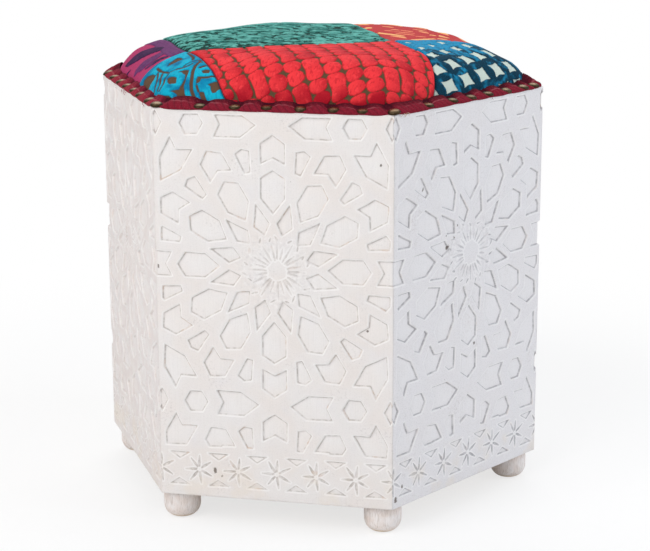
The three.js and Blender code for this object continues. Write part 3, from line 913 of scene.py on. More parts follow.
def turned_foot(index, material):
    angles = bearings(FOOT_STEPS)
    profile = foot_profile()
    rings = []
    for radius, height in profile[1:-1]:
        wobble = lattice_noise(angles * 3, np.full(FOOT_STEPS, height), 2.5, 300 + index)
        reach = np.minimum(radius * (1 + FOOT_WOBBLE_SHARE * wobble), FOOT_RADIUS)
        rings.append(polar_points(reach, angles, height))
    points = np.concatenate(rings + [[[0, 0, profile[0][1]], [0, 0, profile[-1][1]]]])
    layers = {"up": points[:, 2].copy()}
    placed = turn_about_z(points + np.array([FOOT_AXIS, 0, 0]), index * SIDE_TURN)
    faces = capped_rings(len(rings), FOOT_STEPS)
    piece = make_piece(f"bun_foot_{index + 1}", placed, faces, layers, materials=[material])
    return dress(piece, "foot_wood", f"foot_{index + 1}")


# The plan of the cushion. Cloth is laid out on a flat plan whose distances from the middle are
# lengths of cloth, so that a weave is even over the crown and down the sides.

CUSHION_APOTHEM = APOTHEM - CUSHION_INSET


def sideward(angle, sharpness=CORNER_SHARPNESS):
    """Apothem over reach, in every direction, of a hexagon with rounded corners."""
    reaches = [np.abs(np.cos(angle - normal)) ** sharpness for normal in rays(SIDE_TURN / 2, SIDES)]
    return (sum(reaches) / 2) ** (1 / sharpness)


def fullness(angle):
    """0 where the crown rises gently, and 1 at the front, where it is steep at first and then flat."""
    degrees = np.mod(np.degrees(angle) + 180, 360) - 180
    return smooth_step(degrees, *FULL_FROM) * (1 - smooth_step(degrees, *FULL_UNTIL))


def crown_height(share, flatness=CROWN_FLATNESS, shoulder=CROWN_SHOULDER):
    return CUSHION_CROWN_RISE * np.clip(1 - np.clip(share, 0, 1) ** flatness, 0, 1) ** shoulder


def cloth_lengths(shares, *form):
    """Length of cloth from the middle to each share of the way out, in mean radii."""
    runs = np.hypot(np.diff(shares) * MEAN_RADIUS, np.diff(crown_height(shares, *form)))
    return np.concatenate([[0], np.cumsum(runs)]) / MEAN_RADIUS


# Shares of the way out, closer together towards the edge, and the cloth that reaches to each
RING_SHARES = 1 - (1 - np.linspace(0, 1, 4001)) ** 3
CLOTH_SHARES = cloth_lengths(RING_SHARES)
FULL_CLOTH_SHARES = cloth_lengths(RING_SHARES, FULL_FLATNESS, FULL_SHOULDER)
EDGE_CLOTH_SHARE = CLOTH_SHARES[-1]
FULL_STRETCH = FULL_CLOTH_SHARES[-1] / EDGE_CLOTH_SHARE
COVER_END_RISE = 1.0  # of the cut edge of the cover over the rim, under the braid
COVER_END_SHARE = EDGE_CLOTH_SHARE + (CUSHION_EDGE_RISE - COVER_END_RISE) / MEAN_RADIUS

# Where the padding is thicker or thinner: place on the plan of the stool, rise and spread
UNEVEN_PADDING = [
    (124, 68, 2.6, 15), (178, 12, -3.2, 17), (-20, 112, -1.4, 34), (68, 119, -1.3, 15),
    (-192, -8, 2.4, 13),
]
PADDING_EDGE_SHARE = 0.12


def crown_point(cloth, angle):
    """How far out and how high the crown is at a share of the cloth from its middle."""
    gentle = np.interp(cloth, CLOTH_SHARES, RING_SHARES)
    full = np.interp(cloth * FULL_STRETCH, FULL_CLOTH_SHARES, RING_SHARES)
    blend = fullness(angle)
    rise = (1 - blend) * crown_height(gentle) + blend * crown_height(full, FULL_FLATNESS, FULL_SHOULDER)
    share = (1 - blend) * gentle + blend * full
    reach = share * CUSHION_APOTHEM / sideward(angle)
    for x, y, thicker, spread in UNEVEN_PADDING:
        off = np.hypot(reach * np.cos(angle) - x, reach * np.sin(angle) - y) / spread
        rise = rise + thicker * np.exp(-off ** 2) * smooth_step(1 - share, 0.0, PADDING_EDGE_SHARE)
    return share, rise


def cloth_share(x, y):
    """Share of the cloth from the middle of the plan to the edge of the crown."""
    angle = np.arctan2(y, x)
    full = 1 + (FULL_STRETCH - 1) * fullness(angle)
    return np.hypot(x, y) * sideward(angle) / CUSHION_APOTHEM / full


def on_cushion(x, y):
    """The point of the cushion that lies under a point of the flat plan of its cloth."""
    angle = np.arctan2(y, x)
    cloth = cloth_share(x, y)
    share, rise = crown_point(cloth, angle)
    edge = CUSHION_APOTHEM / sideward(angle)
    hanging = np.maximum(cloth - EDGE_CLOTH_SHARE, 0) * MEAN_RADIUS
    return polar_points(share * edge, angle, PANEL_TOP + CUSHION_EDGE_RISE + rise - hanging)


# Seams between the patches, on the flat plan

LEFT_MEETING = (-108, -93)
RIGHT_MEETING = (83, -40)
SEAMS = {
    "middle": [
        LEFT_MEETING, (-98, -99), (-86, -104), (-70, -106), (-54, -104), (-38, -98), (-21, -95),
        (-3, -90), (17, -82), (37, -74), (55, -64), (71, -51), RIGHT_MEETING,
    ],
    "left_front": [
        LEFT_MEETING, (-98, -108), (-88, -125), (-78, -142), (-66, -160), (-57, -179), (-51, -196),
        (-43, -216),
    ],
    "left_row": [LEFT_MEETING, (-122, -96), (-138, -98), (-150, -103), (-164, -109), (-185, -120)],
    "left_back": [
        LEFT_MEETING, (-118, -76), (-127, -60), (-135, -44), (-144, -26), (-154, -10), (-168, 12),
        (-190, 50), (-222, 105),
    ],
    "right_front": [
        RIGHT_MEETING, (96, -59), (112.5, -81), (126.5, -96), (135.5, -110.5), (142, -122),
        (147, -131.5), (152, -142), (158, -160),
    ],
    "right_row": [RIGHT_MEETING, (96, -31), (107, -21), (124, -10), (146, -1), (175, 16), (236, 38)],
    "right_back": [
        RIGHT_MEETING, (72, -19), (64, -2), (59, 14), (50, 30), (41, 46), (34, 62), (14, 105),
        (-10, 160), (-32, 215),
    ],
}


FAR_CORNER_REACH = 1.4


def far_corner(*names):
    """A point well outside the cushion, between the ends of two seams."""
    ends = [np.array(SEAMS[name][-1]) for name in names]
    return tuple(sum(ends) * FAR_CORNER_REACH)


def wedge(first, second):
    """The patch between two seams that part at a meeting point and run out over the edge."""
    return SEAMS[first] + [far_corner(first, second)] + SEAMS[second][:0:-1]


def patch_outlines():
    front_edge = [far_corner("left_front", "right_front")] + SEAMS["left_front"][:0:-1]
    back_edge = [far_corner("left_back", "right_back")] + SEAMS["right_back"][::-1]
    return {
        "red": SEAMS["middle"] + SEAMS["right_front"][1:] + front_edge,
        "cyan": wedge("left_front", "left_row"),
        "purple": wedge("left_row", "left_back"),
        "teal": SEAMS["left_back"] + back_edge + SEAMS["middle"][-2:0:-1],
        "orange": wedge("right_back", "right_row"),
        "blue": wedge("right_row", "right_front"),
    }


def nearest_on_seams(x, y):
    """Distance to the nearest seam and the point on it."""
    best = np.full(x.shape, np.inf)
    near_x, near_y = np.zeros(x.shape), np.zeros(x.shape)
    for line in SEAMS.values():
        for start, end in zip(line, line[1:]):
            distance, along = segment_distance(x, y, start, end)
            closer = distance < best
            best = np.where(closer, distance, best)
            near_x = np.where(closer, start[0] + along * (end[0] - start[0]), near_x)
            near_y = np.where(closer, start[1] + along * (end[1] - start[1]), near_y)
    return best, near_x, near_y


# Pile of the six velvets: each gives the distance to the edge of its raised pile, in
# millimetres and negative on the pile, and a shade from 0 to 1

RED_LEAN = math.radians(26.6)
RED_COLUMN = 16.9
RED_FIRST_COLUMN = -51.8
RED_LEVEL = -180.0
RED_REPEAT = 57.0
RED_BAR_HALVES = (7.8, 13.6)
RED_BAR_ROUNDING = 4.0
RED_BLOB_HALVES = (8.7, 7.6)
RED_BLOB_SQUARENESS = 2.3
# Height on the plan at which each column has the middle of a pair of blobs
RED_PAIR_LEVELS = (
    -190, -165, -163, -182, -177, -196, -164, -183, -178, -197, -186.5, -148, -171,
)


def red_pile(x, y):
    """Leaning columns in which a long bar and a pair of round blobs take turns."""
    u = x * math.cos(RED_LEAN) + (y - RED_LEVEL) * math.sin(RED_LEAN)
    v = x * math.sin(RED_LEAN) - (y - RED_LEVEL) * math.cos(RED_LEAN)
    u = u + 1.0 * lattice_noise(x, y, 13.0, 501) + 0.5 * lattice_noise(x, y, 5.0, 504)
    v = v + 1.2 * lattice_noise(x, y, 13.0, 502) + 0.5 * lattice_noise(x, y, 5.0, 505)
    column = np.round((u - RED_FIRST_COLUMN) / RED_COLUMN).astype(int)
    from_middle = u - RED_FIRST_COLUMN - column * RED_COLUMN
    levels = np.array(RED_PAIR_LEVELS)[column % len(RED_PAIR_LEVELS)]
    # A level on the plan is met where the column's middle line crosses it
    column_u = RED_FIRST_COLUMN + column * RED_COLUMN
    at_level = column_u * math.tan(RED_LEAN) - (levels - RED_LEVEL) / math.cos(RED_LEAN)
    along = np.mod(v - at_level + RED_REPEAT / 4, RED_REPEAT) - RED_REPEAT / 4
    quarter = RED_REPEAT / 4
    on_bar = along > quarter
    waist = 0.7 * np.cos((along - 2 * quarter) / 4.6)
    bent = from_middle + 0.5 * np.sin(along / 6.0)
    bar = box_distance(bent, along - 2 * quarter, *RED_BAR_HALVES, RED_BAR_ROUNDING) + waist * 0.6
    out_u = np.abs(from_middle / RED_BLOB_HALVES[0]) ** RED_BLOB_SQUARENESS
    out_v = np.abs((np.abs(along) - quarter / 2) / RED_BLOB_HALVES[1]) ** RED_BLOB_SQUARENESS
    round_share = (out_u + out_v) ** (1 / RED_BLOB_SQUARENESS)
    blob = (round_share - 1) * 7.0
    step = np.floor((v - at_level) / quarter)
    shade = 0.5 + 0.5 * lattice_noise(column * 31.7 + 3, step * 17.3, 3.0, 503)
    # Each column is painted lighter on its left and darker on its right, painted light and shade
    lit_side = 0.5 - 0.5 * np.clip(from_middle / 7.0, -1, 1)
    # Painted shade darkens the pile here and there near the braid
    blotches = smooth_step(cloth_share(x, y), 0.97, 1.08) * (0.6 + 0.7 * lattice_noise(x, y, 11.0, 506))
    return np.where(on_bar, bar, blob), 0.55 * shade + 0.45 * lit_side - 0.75 * blotches


BLUE_ROW_ANGLE = math.radians(67.5)
BLUE_START = (157.5, -113.8)
# Rows of pale squares, from the rim inwards: how far in, place of a first square, pitch along the
# row, and size of a square as a share of its cell
BLUE_ROWS = (
    (-20.0, 3.0, 31.0, 0.24), (-1.0, 0.0, 31.0, 0.235), (18.3, -2.0, 28.3, 0.23),
    (35.6, -15.0, 28.0, 0.195), (52.5, 0.0, 25.5, 0.16), (71.8, -12.0, 25.0, 0.14),
    (91.0, 2.0, 24.0, 0.13), (110.0, -10.0, 24.0, 0.13),
)
BLUE_HOLLOW = 0.7
BLUE_CELL = 22.0


def blue_pile(x, y):
    """Leaves along the lines of a lattice, which leave a pale square with hollow sides in each cell."""
    along, inward = turned(x - BLUE_START[0], y - BLUE_START[1], BLUE_ROW_ANGLE)
    # The rows spread like a fan, and their squares draw closer together towards the back
    inward = (inward - 0.02 * along) / np.maximum(1 + 0.002 * along, 0.6)
    along = along + 0.0013 * along * np.abs(along)
    rows = np.array(BLUE_ROWS)
    first = np.interp(inward, rows[:, 0], rows[:, 1])
    pitch = np.interp(inward, rows[:, 0], rows[:, 2])
    waist = np.interp(inward, rows[:, 0], rows[:, 3])
    u = (along - first) / pitch + 0.02 * lattice_noise(x, y, 20.0, 511)
    u = u + 0.012 * lattice_noise(x, y, 5.0, 514)
    v = np.interp(inward, rows[:, 0], np.arange(len(rows))) + 0.02 * lattice_noise(x, y, 20.0, 512)
    v = v + 0.018 * lattice_noise(x, y, 5.0, 515)
    off_u, off_v = u - np.round(u), v - np.round(v)
    near_u, near_v = np.abs(off_u), np.abs(off_v)
    beyond_u = near_u - (waist + BLUE_HOLLOW * near_v ** 2)
    beyond_v = near_v - (1.15 * waist + BLUE_HOLLOW * near_u ** 2)
    distance = -np.maximum(beyond_u, beyond_v) * BLUE_CELL
    # Painted light: petrol near the rim, turning bluer up the crown as a painted sheen, and painted shade
    # along one side of each leaf
    sheen_up_the_crown = 1 - smooth_step(cloth_share(x, y), 0.62, 0.96)
    along_row, along_column = np.sign(off_v) * (0.5 - near_v), np.sign(off_u) * (near_u - 0.5)
    leaf_side_shade = np.where(near_v > near_u, along_row, along_column)
    crossing = np.exp(-((0.5 - near_u) ** 2 + (0.5 - near_v) ** 2) / 0.02)
    mottled = unevenness(x, y, (0.45, 8.0, 513), (0.40, 3.0, 516))
    shade = -0.10 + 1.15 * sheen_up_the_crown + 0.55 * leaf_side_shade + mottled - 0.1 * crossing
    return distance, np.clip(shade, -0.5, 1)


# The flat ground that shows between the cyan strokes: shapes, then thin lines with half a width
CYAN_GROUND_SHAPES = [
    [(-120.5, -127), (-119, -120), (-113, -112), (-108, -117), (-103, -126), (-111, -129)],
    [
        (-153, -117), (-146, -118), (-138, -124), (-132, -133), (-134, -140), (-139, -146),
        (-144, -147), (-150, -138), (-154, -128),
    ],
    [(-111, -161.5), (-106.5, -162), (-100, -167), (-99, -175.5), (-107, -173), (-110, -168)],
    [
        (-91, -158.5), (-95.5, -161.5), (-91, -166), (-90.7, -172), (-92.5, -178), (-95.5, -185),
        (-106, -183), (-103, -184.5), (-98, -189.5), (-96.5, -198), (-86.5, -198), (-89.5, -190),
        (-90.3, -182), (-89.8, -173), (-89, -166), (-88.5, -160),
    ],
    [(-79, -173.2), (-75, -173), (-75.3, -177), (-78.3, -179.5)],
    [(-75.3, -161.8), (-71.5, -160.4), (-67.8, -161), (-67.8, -165.8), (-73.5, -165.8)],
    [
        (-66.8, -181.2), (-61, -179.3), (-57, -176.5), (-54.5, -182), (-52, -186.5), (-56, -187.5),
        (-59, -190.5), (-62, -190.5), (-63.5, -187), (-64, -183.5),
    ],
    [(-75, -188.5), (-70.2, -189.5), (-69.3, -194), (-68.3, -200), (-70.3, -202), (-73.5, -196)],
    [(-124, -178), (-115, -184), (-108, -188), (-104, -194), (-108, -206), (-132, -194)],
    [(-166, -128), (-158, -136), (-152, -148), (-158, -156), (-178, -134)],
]
CYAN_GROUND_LINES = [
    (1.2, [
        (-81, -142.5), (-83.5, -152), (-84, -162), (-83.6, -171.5), (-83.5, -179.5), (-82.5, -186.3),
        (-80.5, -192.2), (-78, -200),
    ]),
    (0.9, [(-77.2, -171.8), (-70.6, -172.3), (-62.3, -170.8)]), (1.0, [(-78, -156.5), (-73, -153.5)]),
    (0.6, [(-81, -146), (-77, -147)]), (0.6, [(-77.8, -181.5), (-75.5, -188)]),
    (0.7, [(-130.2, -130), (-127, -150), (-127.8, -160), (-129.5, -166)]),
    (0.9, [(-122, -141), (-121.5, -151.5), (-121, -163), (-123, -171)]),
    (0.9, [(-112, -153.5), (-115, -159.5), (-115.7, -169.3), (-119.5, -174)]),
    (0.8, [
        (-134.5, -115.5), (-126, -132), (-119, -141.5), (-112.5, -149.5), (-103.7, -150.2),
        (-96, -152.5), (-91, -151), (-88, -148),
    ]),
    (0.8, [(-98, -158.7), (-92.3, -159.5)]),
    (0.8, [(-82, -140), (-89, -142.5), (-94, -146), (-96, -149)]),
    (0.9, [(-104, -104), (-98, -116), (-92, -128), (-90, -138)]),
    (0.8, [(-140, -152), (-138, -162), (-134, -172)]),
]


def line_distance(x, y, line):
    """Distance to a bent line, and how far along it the nearest point lies, 0 to 1."""
    lengths = [math.dist(start, end) for start, end in zip(line, line[1:])]
    best, place = np.full(np.shape(x), np.inf), np.zeros(np.shape(x))
    passed = 0.0
    for start, end, length in zip(line, line[1:], lengths):
        distance, along = segment_distance(x, y, start, end)
        closer = distance < best
        best = np.where(closer, distance, best)
        place = np.where(closer, (passed + along * length) / sum(lengths), place)
        passed += length
    return best, place


def cyan_pile(x, y):
    """Pile that covers all but a few shapes and lines of the ground, as rings, hooks and long curves."""
    x = x + 0.5 * lattice_noise(x, y, 7.0, 521)
    y = y + 0.5 * lattice_noise(x, y, 7.0, 522)
    ground = np.full(x.shape, 40.0)
    for corners in CYAN_GROUND_SHAPES:
        ground = np.minimum(ground, outline_distance(x, y, corners))
    for half_width, line in CYAN_GROUND_LINES:
        ground = np.minimum(ground, line_distance(x, y, line)[0] - half_width - 0.3)
    shade = 0.5 + 0.7 * lattice_noise(x + 0.4 * y, y, 8.0, 524)
    return -ground, np.clip(shade, 0, 1)


# Tilt in degrees, length and width of the slits that cross each other
TEAL_SLITS = ((38, 6.5, 2.3), (-30, 7.0, 2.4), (8, 8.5, 2.6))
TEAL_SLIT_LEVEL = 0.42
TEAL_SLIT_STEEPNESS = 3.4


def teal_pile(x, y):
    """A close pile broken by short slanting slits."""
    slits = np.full(np.shape(x), -1.0)
    for order, (tilt, length, width) in enumerate(TEAL_SLITS):
        u, v = turned(x, y, math.radians(tilt))
        slits = np.maximum(slits, lattice_noise(u / length, v / width, 1.0, 531 + order))
    shade = 0.45 + 0.75 * lattice_noise(x / 6.5, y / 5.0, 1.0, 535)
    shade = shade + 0.35 * lattice_noise(x / 30.0, y / 22.0, 1.0, 536)
    return (slits - TEAL_SLIT_LEVEL) * TEAL_SLIT_STEEPNESS, np.clip(shade, 0, 1)


# Half width, shade from salmon at 0 to yellow at 1, and the line that the stroke follows
ORANGE_STROKES = [
    (3.2, 0.8, [(58, 22), (68, 14), (77, 8), (86, 1)]), (2.8, 0.3, [(74, 0), (83, -5), (90, -12)]),
    (4.4, 0.5, [(36, 61), (43, 56)]), (2.0, 0.2, [(65, 52), (73, 48)]),
    (2.0, 0.1, [(76, 47), (88, 42)]), (1.8, 0.0, [(72, 33), (84, 29), (93, 28)]),
    (1.8, 0.1, [(75, 20), (86, 18), (95, 14)]), (4.0, 0.3, [(95, 51), (103, 45)]),
    (3.4, 0.6, [(109, 33), (113, 28)]), (4.6, 0.8, [(117, 40), (122, 31), (126, 24)]),
    (2.8, 0.9, [(97, -20), (104, -15), (112, -9), (119, -4)]), (2.8, 0.4, [(122, 0), (129, 1)]),
    (1.6, 0.1, [(60, 40), (70, 37)]), (1.6, 0.0, [(98, 6), (108, 4)]), (2.4, 0.3, [(52, 74), (64, 70)]),
    (2.4, 0.2, [(84, 70), (98, 66)]), (3.6, 0.6, [(112, 66), (122, 58)]),
    (4.2, 0.5, [(24, 92), (34, 86)]), (3.0, 0.8, [(46, 104), (58, 98), (68, 90)]),
    (2.6, 0.2, [(80, 98), (94, 92)]), (3.8, 0.7, [(106, 96), (118, 86)]),
    (3.0, 0.3, [(134, 62), (142, 52), (146, 42)]), (3.0, 0.8, [(10, 126), (22, 118), (34, 114)]),
    (2.6, 0.2, [(50, 130), (64, 124)]), (3.6, 0.6, [(78, 126), (92, 116)]),
    (3.0, 0.4, [(134, 92), (144, 82)]), (4.2, 0.7, [(2, 154), (14, 148)]),
    (2.6, 0.1, [(30, 152), (46, 146)]), (3.2, 0.8, [(60, 154), (76, 146), (86, 142)]),
    (3.0, 0.3, [(104, 130), (118, 118)]), (3.4, 0.6, [(158, 60), (168, 46)]),
    (2.8, 0.2, [(176, 40), (186, 30)]), (3.0, 0.7, [(12, 180), (28, 174)]),
    (2.8, 0.3, [(46, 178), (62, 172)]), (3.0, 0.6, [(168, 72), (178, 60)]),
]


def orange_pile(x, y):
    """Salmon and yellow strokes that lie on a rose red ground."""
    x = x + 1.2 * lattice_noise(x, y, 9.0, 541)
    distance, shade = np.full(x.shape, 20.0), np.zeros(x.shape)
    for half_width, stroke_shade, line in ORANGE_STROKES:
        reach, place = line_distance(x, y, line)
        stroke = reach - half_width * (1 - 0.5 * (2 * place - 1) ** 2)
        closer = stroke < distance
        distance, shade = np.where(closer, stroke, distance), np.where(closer, stroke_shade, shade)
    return distance, shade


# Half width at the widest, shade, and the spine of each leaf from its tip
PURPLE_LEAVES = [
    (12.5, 0.0, [
        (-200, -32), (-190, -36), (-180, -37), (-170, -39.5), (-160, -42.5), (-150, -46.5), (-142, -48),
    ]),
    (12.0, 0.55, [
        (-176, -81), (-170.5, -77), (-163.5, -76), (-157, -75), (-150, -73.5), (-144, -69.5),
        (-138, -65),
    ]),
    (5.0, 0.20, [(-157.5, -91), (-150, -90), (-143.5, -87.5), (-138, -86.5), (-131.5, -89)]),
    (2.0, 0.10, [(-196, -54), (-191, -56), (-186, -57)]),
    (6.5, 0.10, [(-224, 8), (-208, 14), (-194, 20), (-178, 30)]),
    (6.0, 0.70, [(-228, 50), (-212, 58), (-196, 66)]),
    (5.5, 0.15, [(-230, 92), (-216, 98), (-204, 104)]),
    (3.0, 0.30, [(-212, 32), (-200, 38), (-190, 44)]),
]
VIOLET_BAND = 17.0
PINK_LINE = [(-127, -63), (-121, -68), (-117, -72), (-113, -80)]


def purple_pile(x, y):
    """Long violet leaves over a rose ground, and a violet band beside the teal patch."""
    distance, shade = np.full(x.shape, 30.0), np.zeros(x.shape)
    x = x + 0.8 * lattice_noise(x, y, 9.0, 551)
    for half_width, leaf_shade, spine in PURPLE_LEAVES:
        reach, place = line_distance(x, y, spine)
        width = half_width * np.minimum(1, place / 0.35) ** 0.8 * (1 - 0.5 * place ** 2)
        closer = reach - width < distance
        distance, shade = np.where(closer, reach - width, distance), np.where(closer, leaf_shade, shade)
    to_teal = line_distance(x, y, SEAMS["left_back"])[0]
    streaks = lattice_noise(to_teal / 2.2, (x + y) / 22.0, 1.0, 552)
    band = to_teal - VIOLET_BAND - 2.0 * lattice_noise(x, y, 17.0, 553)
    shade = np.where(distance < band, shade + 0.15 * streaks, 0.62 + 0.38 * streaks)
    distance = np.maximum(np.minimum(distance, band), 1.3 - line_distance(x, y, PINK_LINE)[0])
    return distance, np.clip(shade, 0, 1)


# The pile of each velvet, and how high it stands
PILES = {
    "red": (red_pile, 1.3),
    "cyan": (cyan_pile, 1.3),
    "purple": (purple_pile, 0.8),
    "teal": (teal_pile, 1.2),
    "orange": (orange_pile, 0.5),
    "blue": (blue_pile, 1.4),
}


SNAP_ROUNDS = 4
SNAP_SHARE = 0.56
PLAN_REACH_SHARE = 1.18
SMALLEST = 1e-9


def snapped_plan():
    """A square grid over the flat plan, with the points near a seam or the edge moved onto it."""
    reach = CUSHION_APOTHEM * EDGE_CLOTH_SHARE * PLAN_REACH_SHARE
    lines = np.arange(-reach, reach + COVER_STEP, COVER_STEP)
    x, y = np.meshgrid(lines, lines)
    cloth = cloth_share(x, y)
    kept = cloth < COVER_END_SHARE + 3 * COVER_STEP / CUSHION_APOTHEM
    near = SNAP_SHARE * COVER_STEP
    edge_distance = np.abs(COVER_END_SHARE - cloth) * CUSHION_APOTHEM / sideward(np.arctan2(y, x))
    on_seam, on_edge = nearest_on_seams(x, y)[0] < near, edge_distance < near
    for _ in range(SNAP_ROUNDS):
        seam_x, seam_y = nearest_on_seams(x, y)[1:]
        x, y = np.where(on_seam, seam_x, x), np.where(on_seam, seam_y, y)
        pull = COVER_END_SHARE / np.maximum(cloth_share(x, y), SMALLEST)
        x, y = np.where(on_edge, x * pull, x), np.where(on_edge, y * pull, y)
    return x, y, kept, on_seam | on_edge


def plan_triangles(kept, fixed):
    """Triangles of the snapped grid, cut along the diagonal that lies on a seam."""
    rows, columns = kept.shape
    corners = grid_faces(rows, columns)
    a, b, c, d = corners[kept.ravel()[corners].all(1)].T
    fixed = fixed.ravel()
    rising = ~(fixed[b] & fixed[d]) | (fixed[a] & fixed[c])
    first = np.where(rising[:, None], np.stack([a, b, c], -1), np.stack([a, b, d], -1))
    second = np.where(rising[:, None], np.stack([a, c, d], -1), np.stack([b, c, d], -1))
    return np.concatenate([first, second])


def surface_with_lift(x, y, lift):
    """Points of the cushion raised along its own normal."""
    base = on_cushion(x, y)
    nudge = 0.4
    along_x = on_cushion(x + nudge, y) - on_cushion(x - nudge, y)
    along_y = on_cushion(x, y + nudge) - on_cushion(x, y - nudge)
    normal = np.cross(along_x, along_y)
    normal /= np.maximum(np.linalg.norm(normal, axis=-1, keepdims=True), SMALLEST)
    return base + normal * lift[..., None]


def length_round_rim(x, y):
    """How far round the rim a point of the plan lies, going out from the middle."""
    angle = np.arctan2(y, x) + TURN / 4
    side = np.round(angle / SIDE_TURN)
    share = 0.5 + APOTHEM * np.tan(angle - side * SIDE_TURN) / SIDE_WIDTH
    return np.mod(side + share, SIDES) * SIDE_WIDTH


COVER_SETTLED = 0.9


def cover_lift(x, y):
    """Seams drawn in, cloth pulled down at the nails and softly uneven between."""
    distance = nearest_on_seams(x, y)[0]
    seam = -0.9 * np.exp(-(distance / 2.2) ** 2) - 0.25 * np.exp(-(distance / 9.0) ** 2)
    to_edge = np.clip((COVER_END_SHARE - cloth_share(x, y)) * MEAN_RADIUS, 0, None)
    pulls = -0.9 * nail_press(length_round_rim(x, y)) * np.exp(-to_edge / 10.0)
    uneven = unevenness(x, y, (0.5, 46.0, 601), (0.2, 17.0, 602))
    return seam + pulls + uneven * (1 - np.exp(-to_edge / 20.0)) - COVER_SETTLED


def closed_shell(top_points, bottom_points, triangles):
    """Joins an upper and a lower sheet of the same triangles round their edges."""
    count = len(top_points)
    edges = np.concatenate([triangles[:, [0, 1]], triangles[:, [1, 2]], triangles[:, [2, 0]]])
    keys = edges[:, 0] * count + edges[:, 1]
    back_keys = edges[:, 1] * count + edges[:, 0]
    border = edges[~np.isin(keys, back_keys)]
    wall = np.stack([border[:, 1], border[:, 0], border[:, 0] + count, border[:, 1] + count], -1)
    faces = list(triangles) + list(triangles[:, ::-1] + count) + list(wall)
    return np.concatenate([top_points, bottom_points]), faces


# Between these distances a pile falls off at its own edge, and rises beside a seam
PILE_EDGE = (-0.8, 0.35)
PILE_BY_SEAM = (0.4, 2.2)
PILE_REACH = 6
SEAM_REACH = 20
LEAST_AREA = 1e-4


def doubled_areas(x, y, triangles):
    """Twice the area of each triangle of the plan."""
    (ax, bx, cx), (ay, by, cy) = x[triangles].T, y[triangles].T
    return (bx - ax) * (cy - ay) - (cx - ax) * (by - ay)


def cover_patches(materials):
    x, y, kept, fixed = snapped_plan()
    triangles = plan_triangles(kept, fixed)
    flat_x, flat_y = x.ravel(), y.ravel()
    middle_x, middle_y = flat_x[triangles].mean(1), flat_y[triangles].mean(1)
    doubled = doubled_areas(flat_x, flat_y, triangles)
    covered = (cloth_share(middle_x, middle_y) < COVER_END_SHARE) & (doubled > LEAST_AREA)
    lift = cover_lift(flat_x, flat_y)
    for patch, outline in patch_outlines().items():
        chosen = covered & inside_outline(middle_x, middle_y, outline)
        used, own = np.unique(triangles[chosen], return_inverse=True)
        px, py = flat_x[used], flat_y[used]
        pile_of, pile_height = PILES[patch]
        pile, shade = pile_of(px, py)
        seam = nearest_on_seams(px, py)[0]
        raised = pile_height * (1 - smooth_step(pile, *PILE_EDGE)) * smooth_step(seam, *PILE_BY_SEAM)
        top = surface_with_lift(px, py, lift[used] + raised)
        bottom = surface_with_lift(px, py, lift[used] - COVER_THICKNESS)
        points, faces = closed_shell(top, bottom, own.reshape(-1, 3))
        readings = {
            "pile": np.clip(pile, -PILE_REACH, PILE_REACH), "shade": shade,
            "cloth_x": px, "cloth_y": py, "seam": np.clip(seam, 0, SEAM_REACH),
        }
        layers = {name: np.tile(values, 2) for name, values in readings.items()}
        piece = make_piece(f"velvet_patch_{patch}", points, faces, layers, materials=[materials[patch]])
        dress(piece, f"{patch}_velvet", f"cover_patch_{patch}")
        cut = (max(px) - min(px)) * MM, (max(py) - min(py)) * MM
        flat_area = doubled[chosen].sum() / 2 * MM ** 2


# Velvets

VELVET_GLOSS = 0.1


def velvet(name, ground, pile_dark, pile_light, lustre_colour, lustre, edge_shade_share):
    """Cut velvet: a ribbed flat ground with a raised lustrous pile over part of it."""
    finish = Finish(name)
    across, along = finish.layer("cloth_x"), finish.layer("cloth_y")
    flat = finish.pair(across, along)
    fuzz = finish.noise(flat, 1.1, 2.0, 0.6)
    blotches = finish.noise(flat, 0.07, 4.0, 0.6)
    brushed = finish.noise(finish.pair(across * 0.42, along * 0.16), 1.0, 3.0, 0.6)
    glint = finish.band(finish.noise(flat, 0.22, 3.0, 0.6), 0.54, 0.66)
    pile = finish.layer("pile") + (fuzz - 0.5) * 0.9
    on_pile = 1 - finish.band(pile, -0.35, 0.25)
    rib = finish.node("ShaderNodeMath", {"operation": "SINE"}, [along * 5.2 + across * 2.2])
    cross = finish.node("ShaderNodeMath", {"operation": "SINE"}, [across * 5.2 - along * 2.2])
    weave = rib * cross * 0.5 + 0.5
    ground_colour = finish.mix(weave * 0.55, ground, tuple(0.55 * c for c in ground))
    shade = finish.layer("shade") * 0.45 + blotches * 0.30 + brushed * 0.25
    pile_colour = finish.mix(finish.band(shade, 0.22, 0.62), pile_dark, pile_light)
    pile_colour = finish.mix(finish.band(brushed, 0.50, 0.66) * 0.5, pile_colour, pile_dark)
    glint = glint * finish.band(shade, 0.20, 0.45)
    pile_colour = finish.mix(glint * 0.4, pile_colour, tuple(min(1.0, 1.15 * c + 0.02) for c in pile_light))
    # Painted shade darkens the pile along its edge
    rim = finish.band(pile, -0.9, -0.05)
    pile_colour = finish.mix(rim * edge_shade_share, pile_colour, tuple(0.45 * c for c in pile_dark))
    pile_colour = finish.mix(finish.band(fuzz, 0.45, 0.75) * 0.25, pile_colour, pile_light)
    colour = finish.mix(on_pile, ground_colour, pile_colour)
    seam = 1 - finish.band(finish.layer("seam"), 0.2, 1.6)
    colour = finish.mix(seam * 0.6, colour, tuple(0.25 * c for c in pile_dark))
    finish.surface_set(
        Base_Color=colour, Roughness=0.80 - on_pile * 0.10, Specular_IOR_Level=VELVET_GLOSS,
        Sheen_Weight=lustre, Sheen_Roughness=0.25, Sheen_Tint=lustre_colour,
    )
    finish.bump(fuzz * 0.5 + weave * (1 - on_pile) * 0.5 + blotches * 0.6, 0.5, 0.6)
    return finish.material
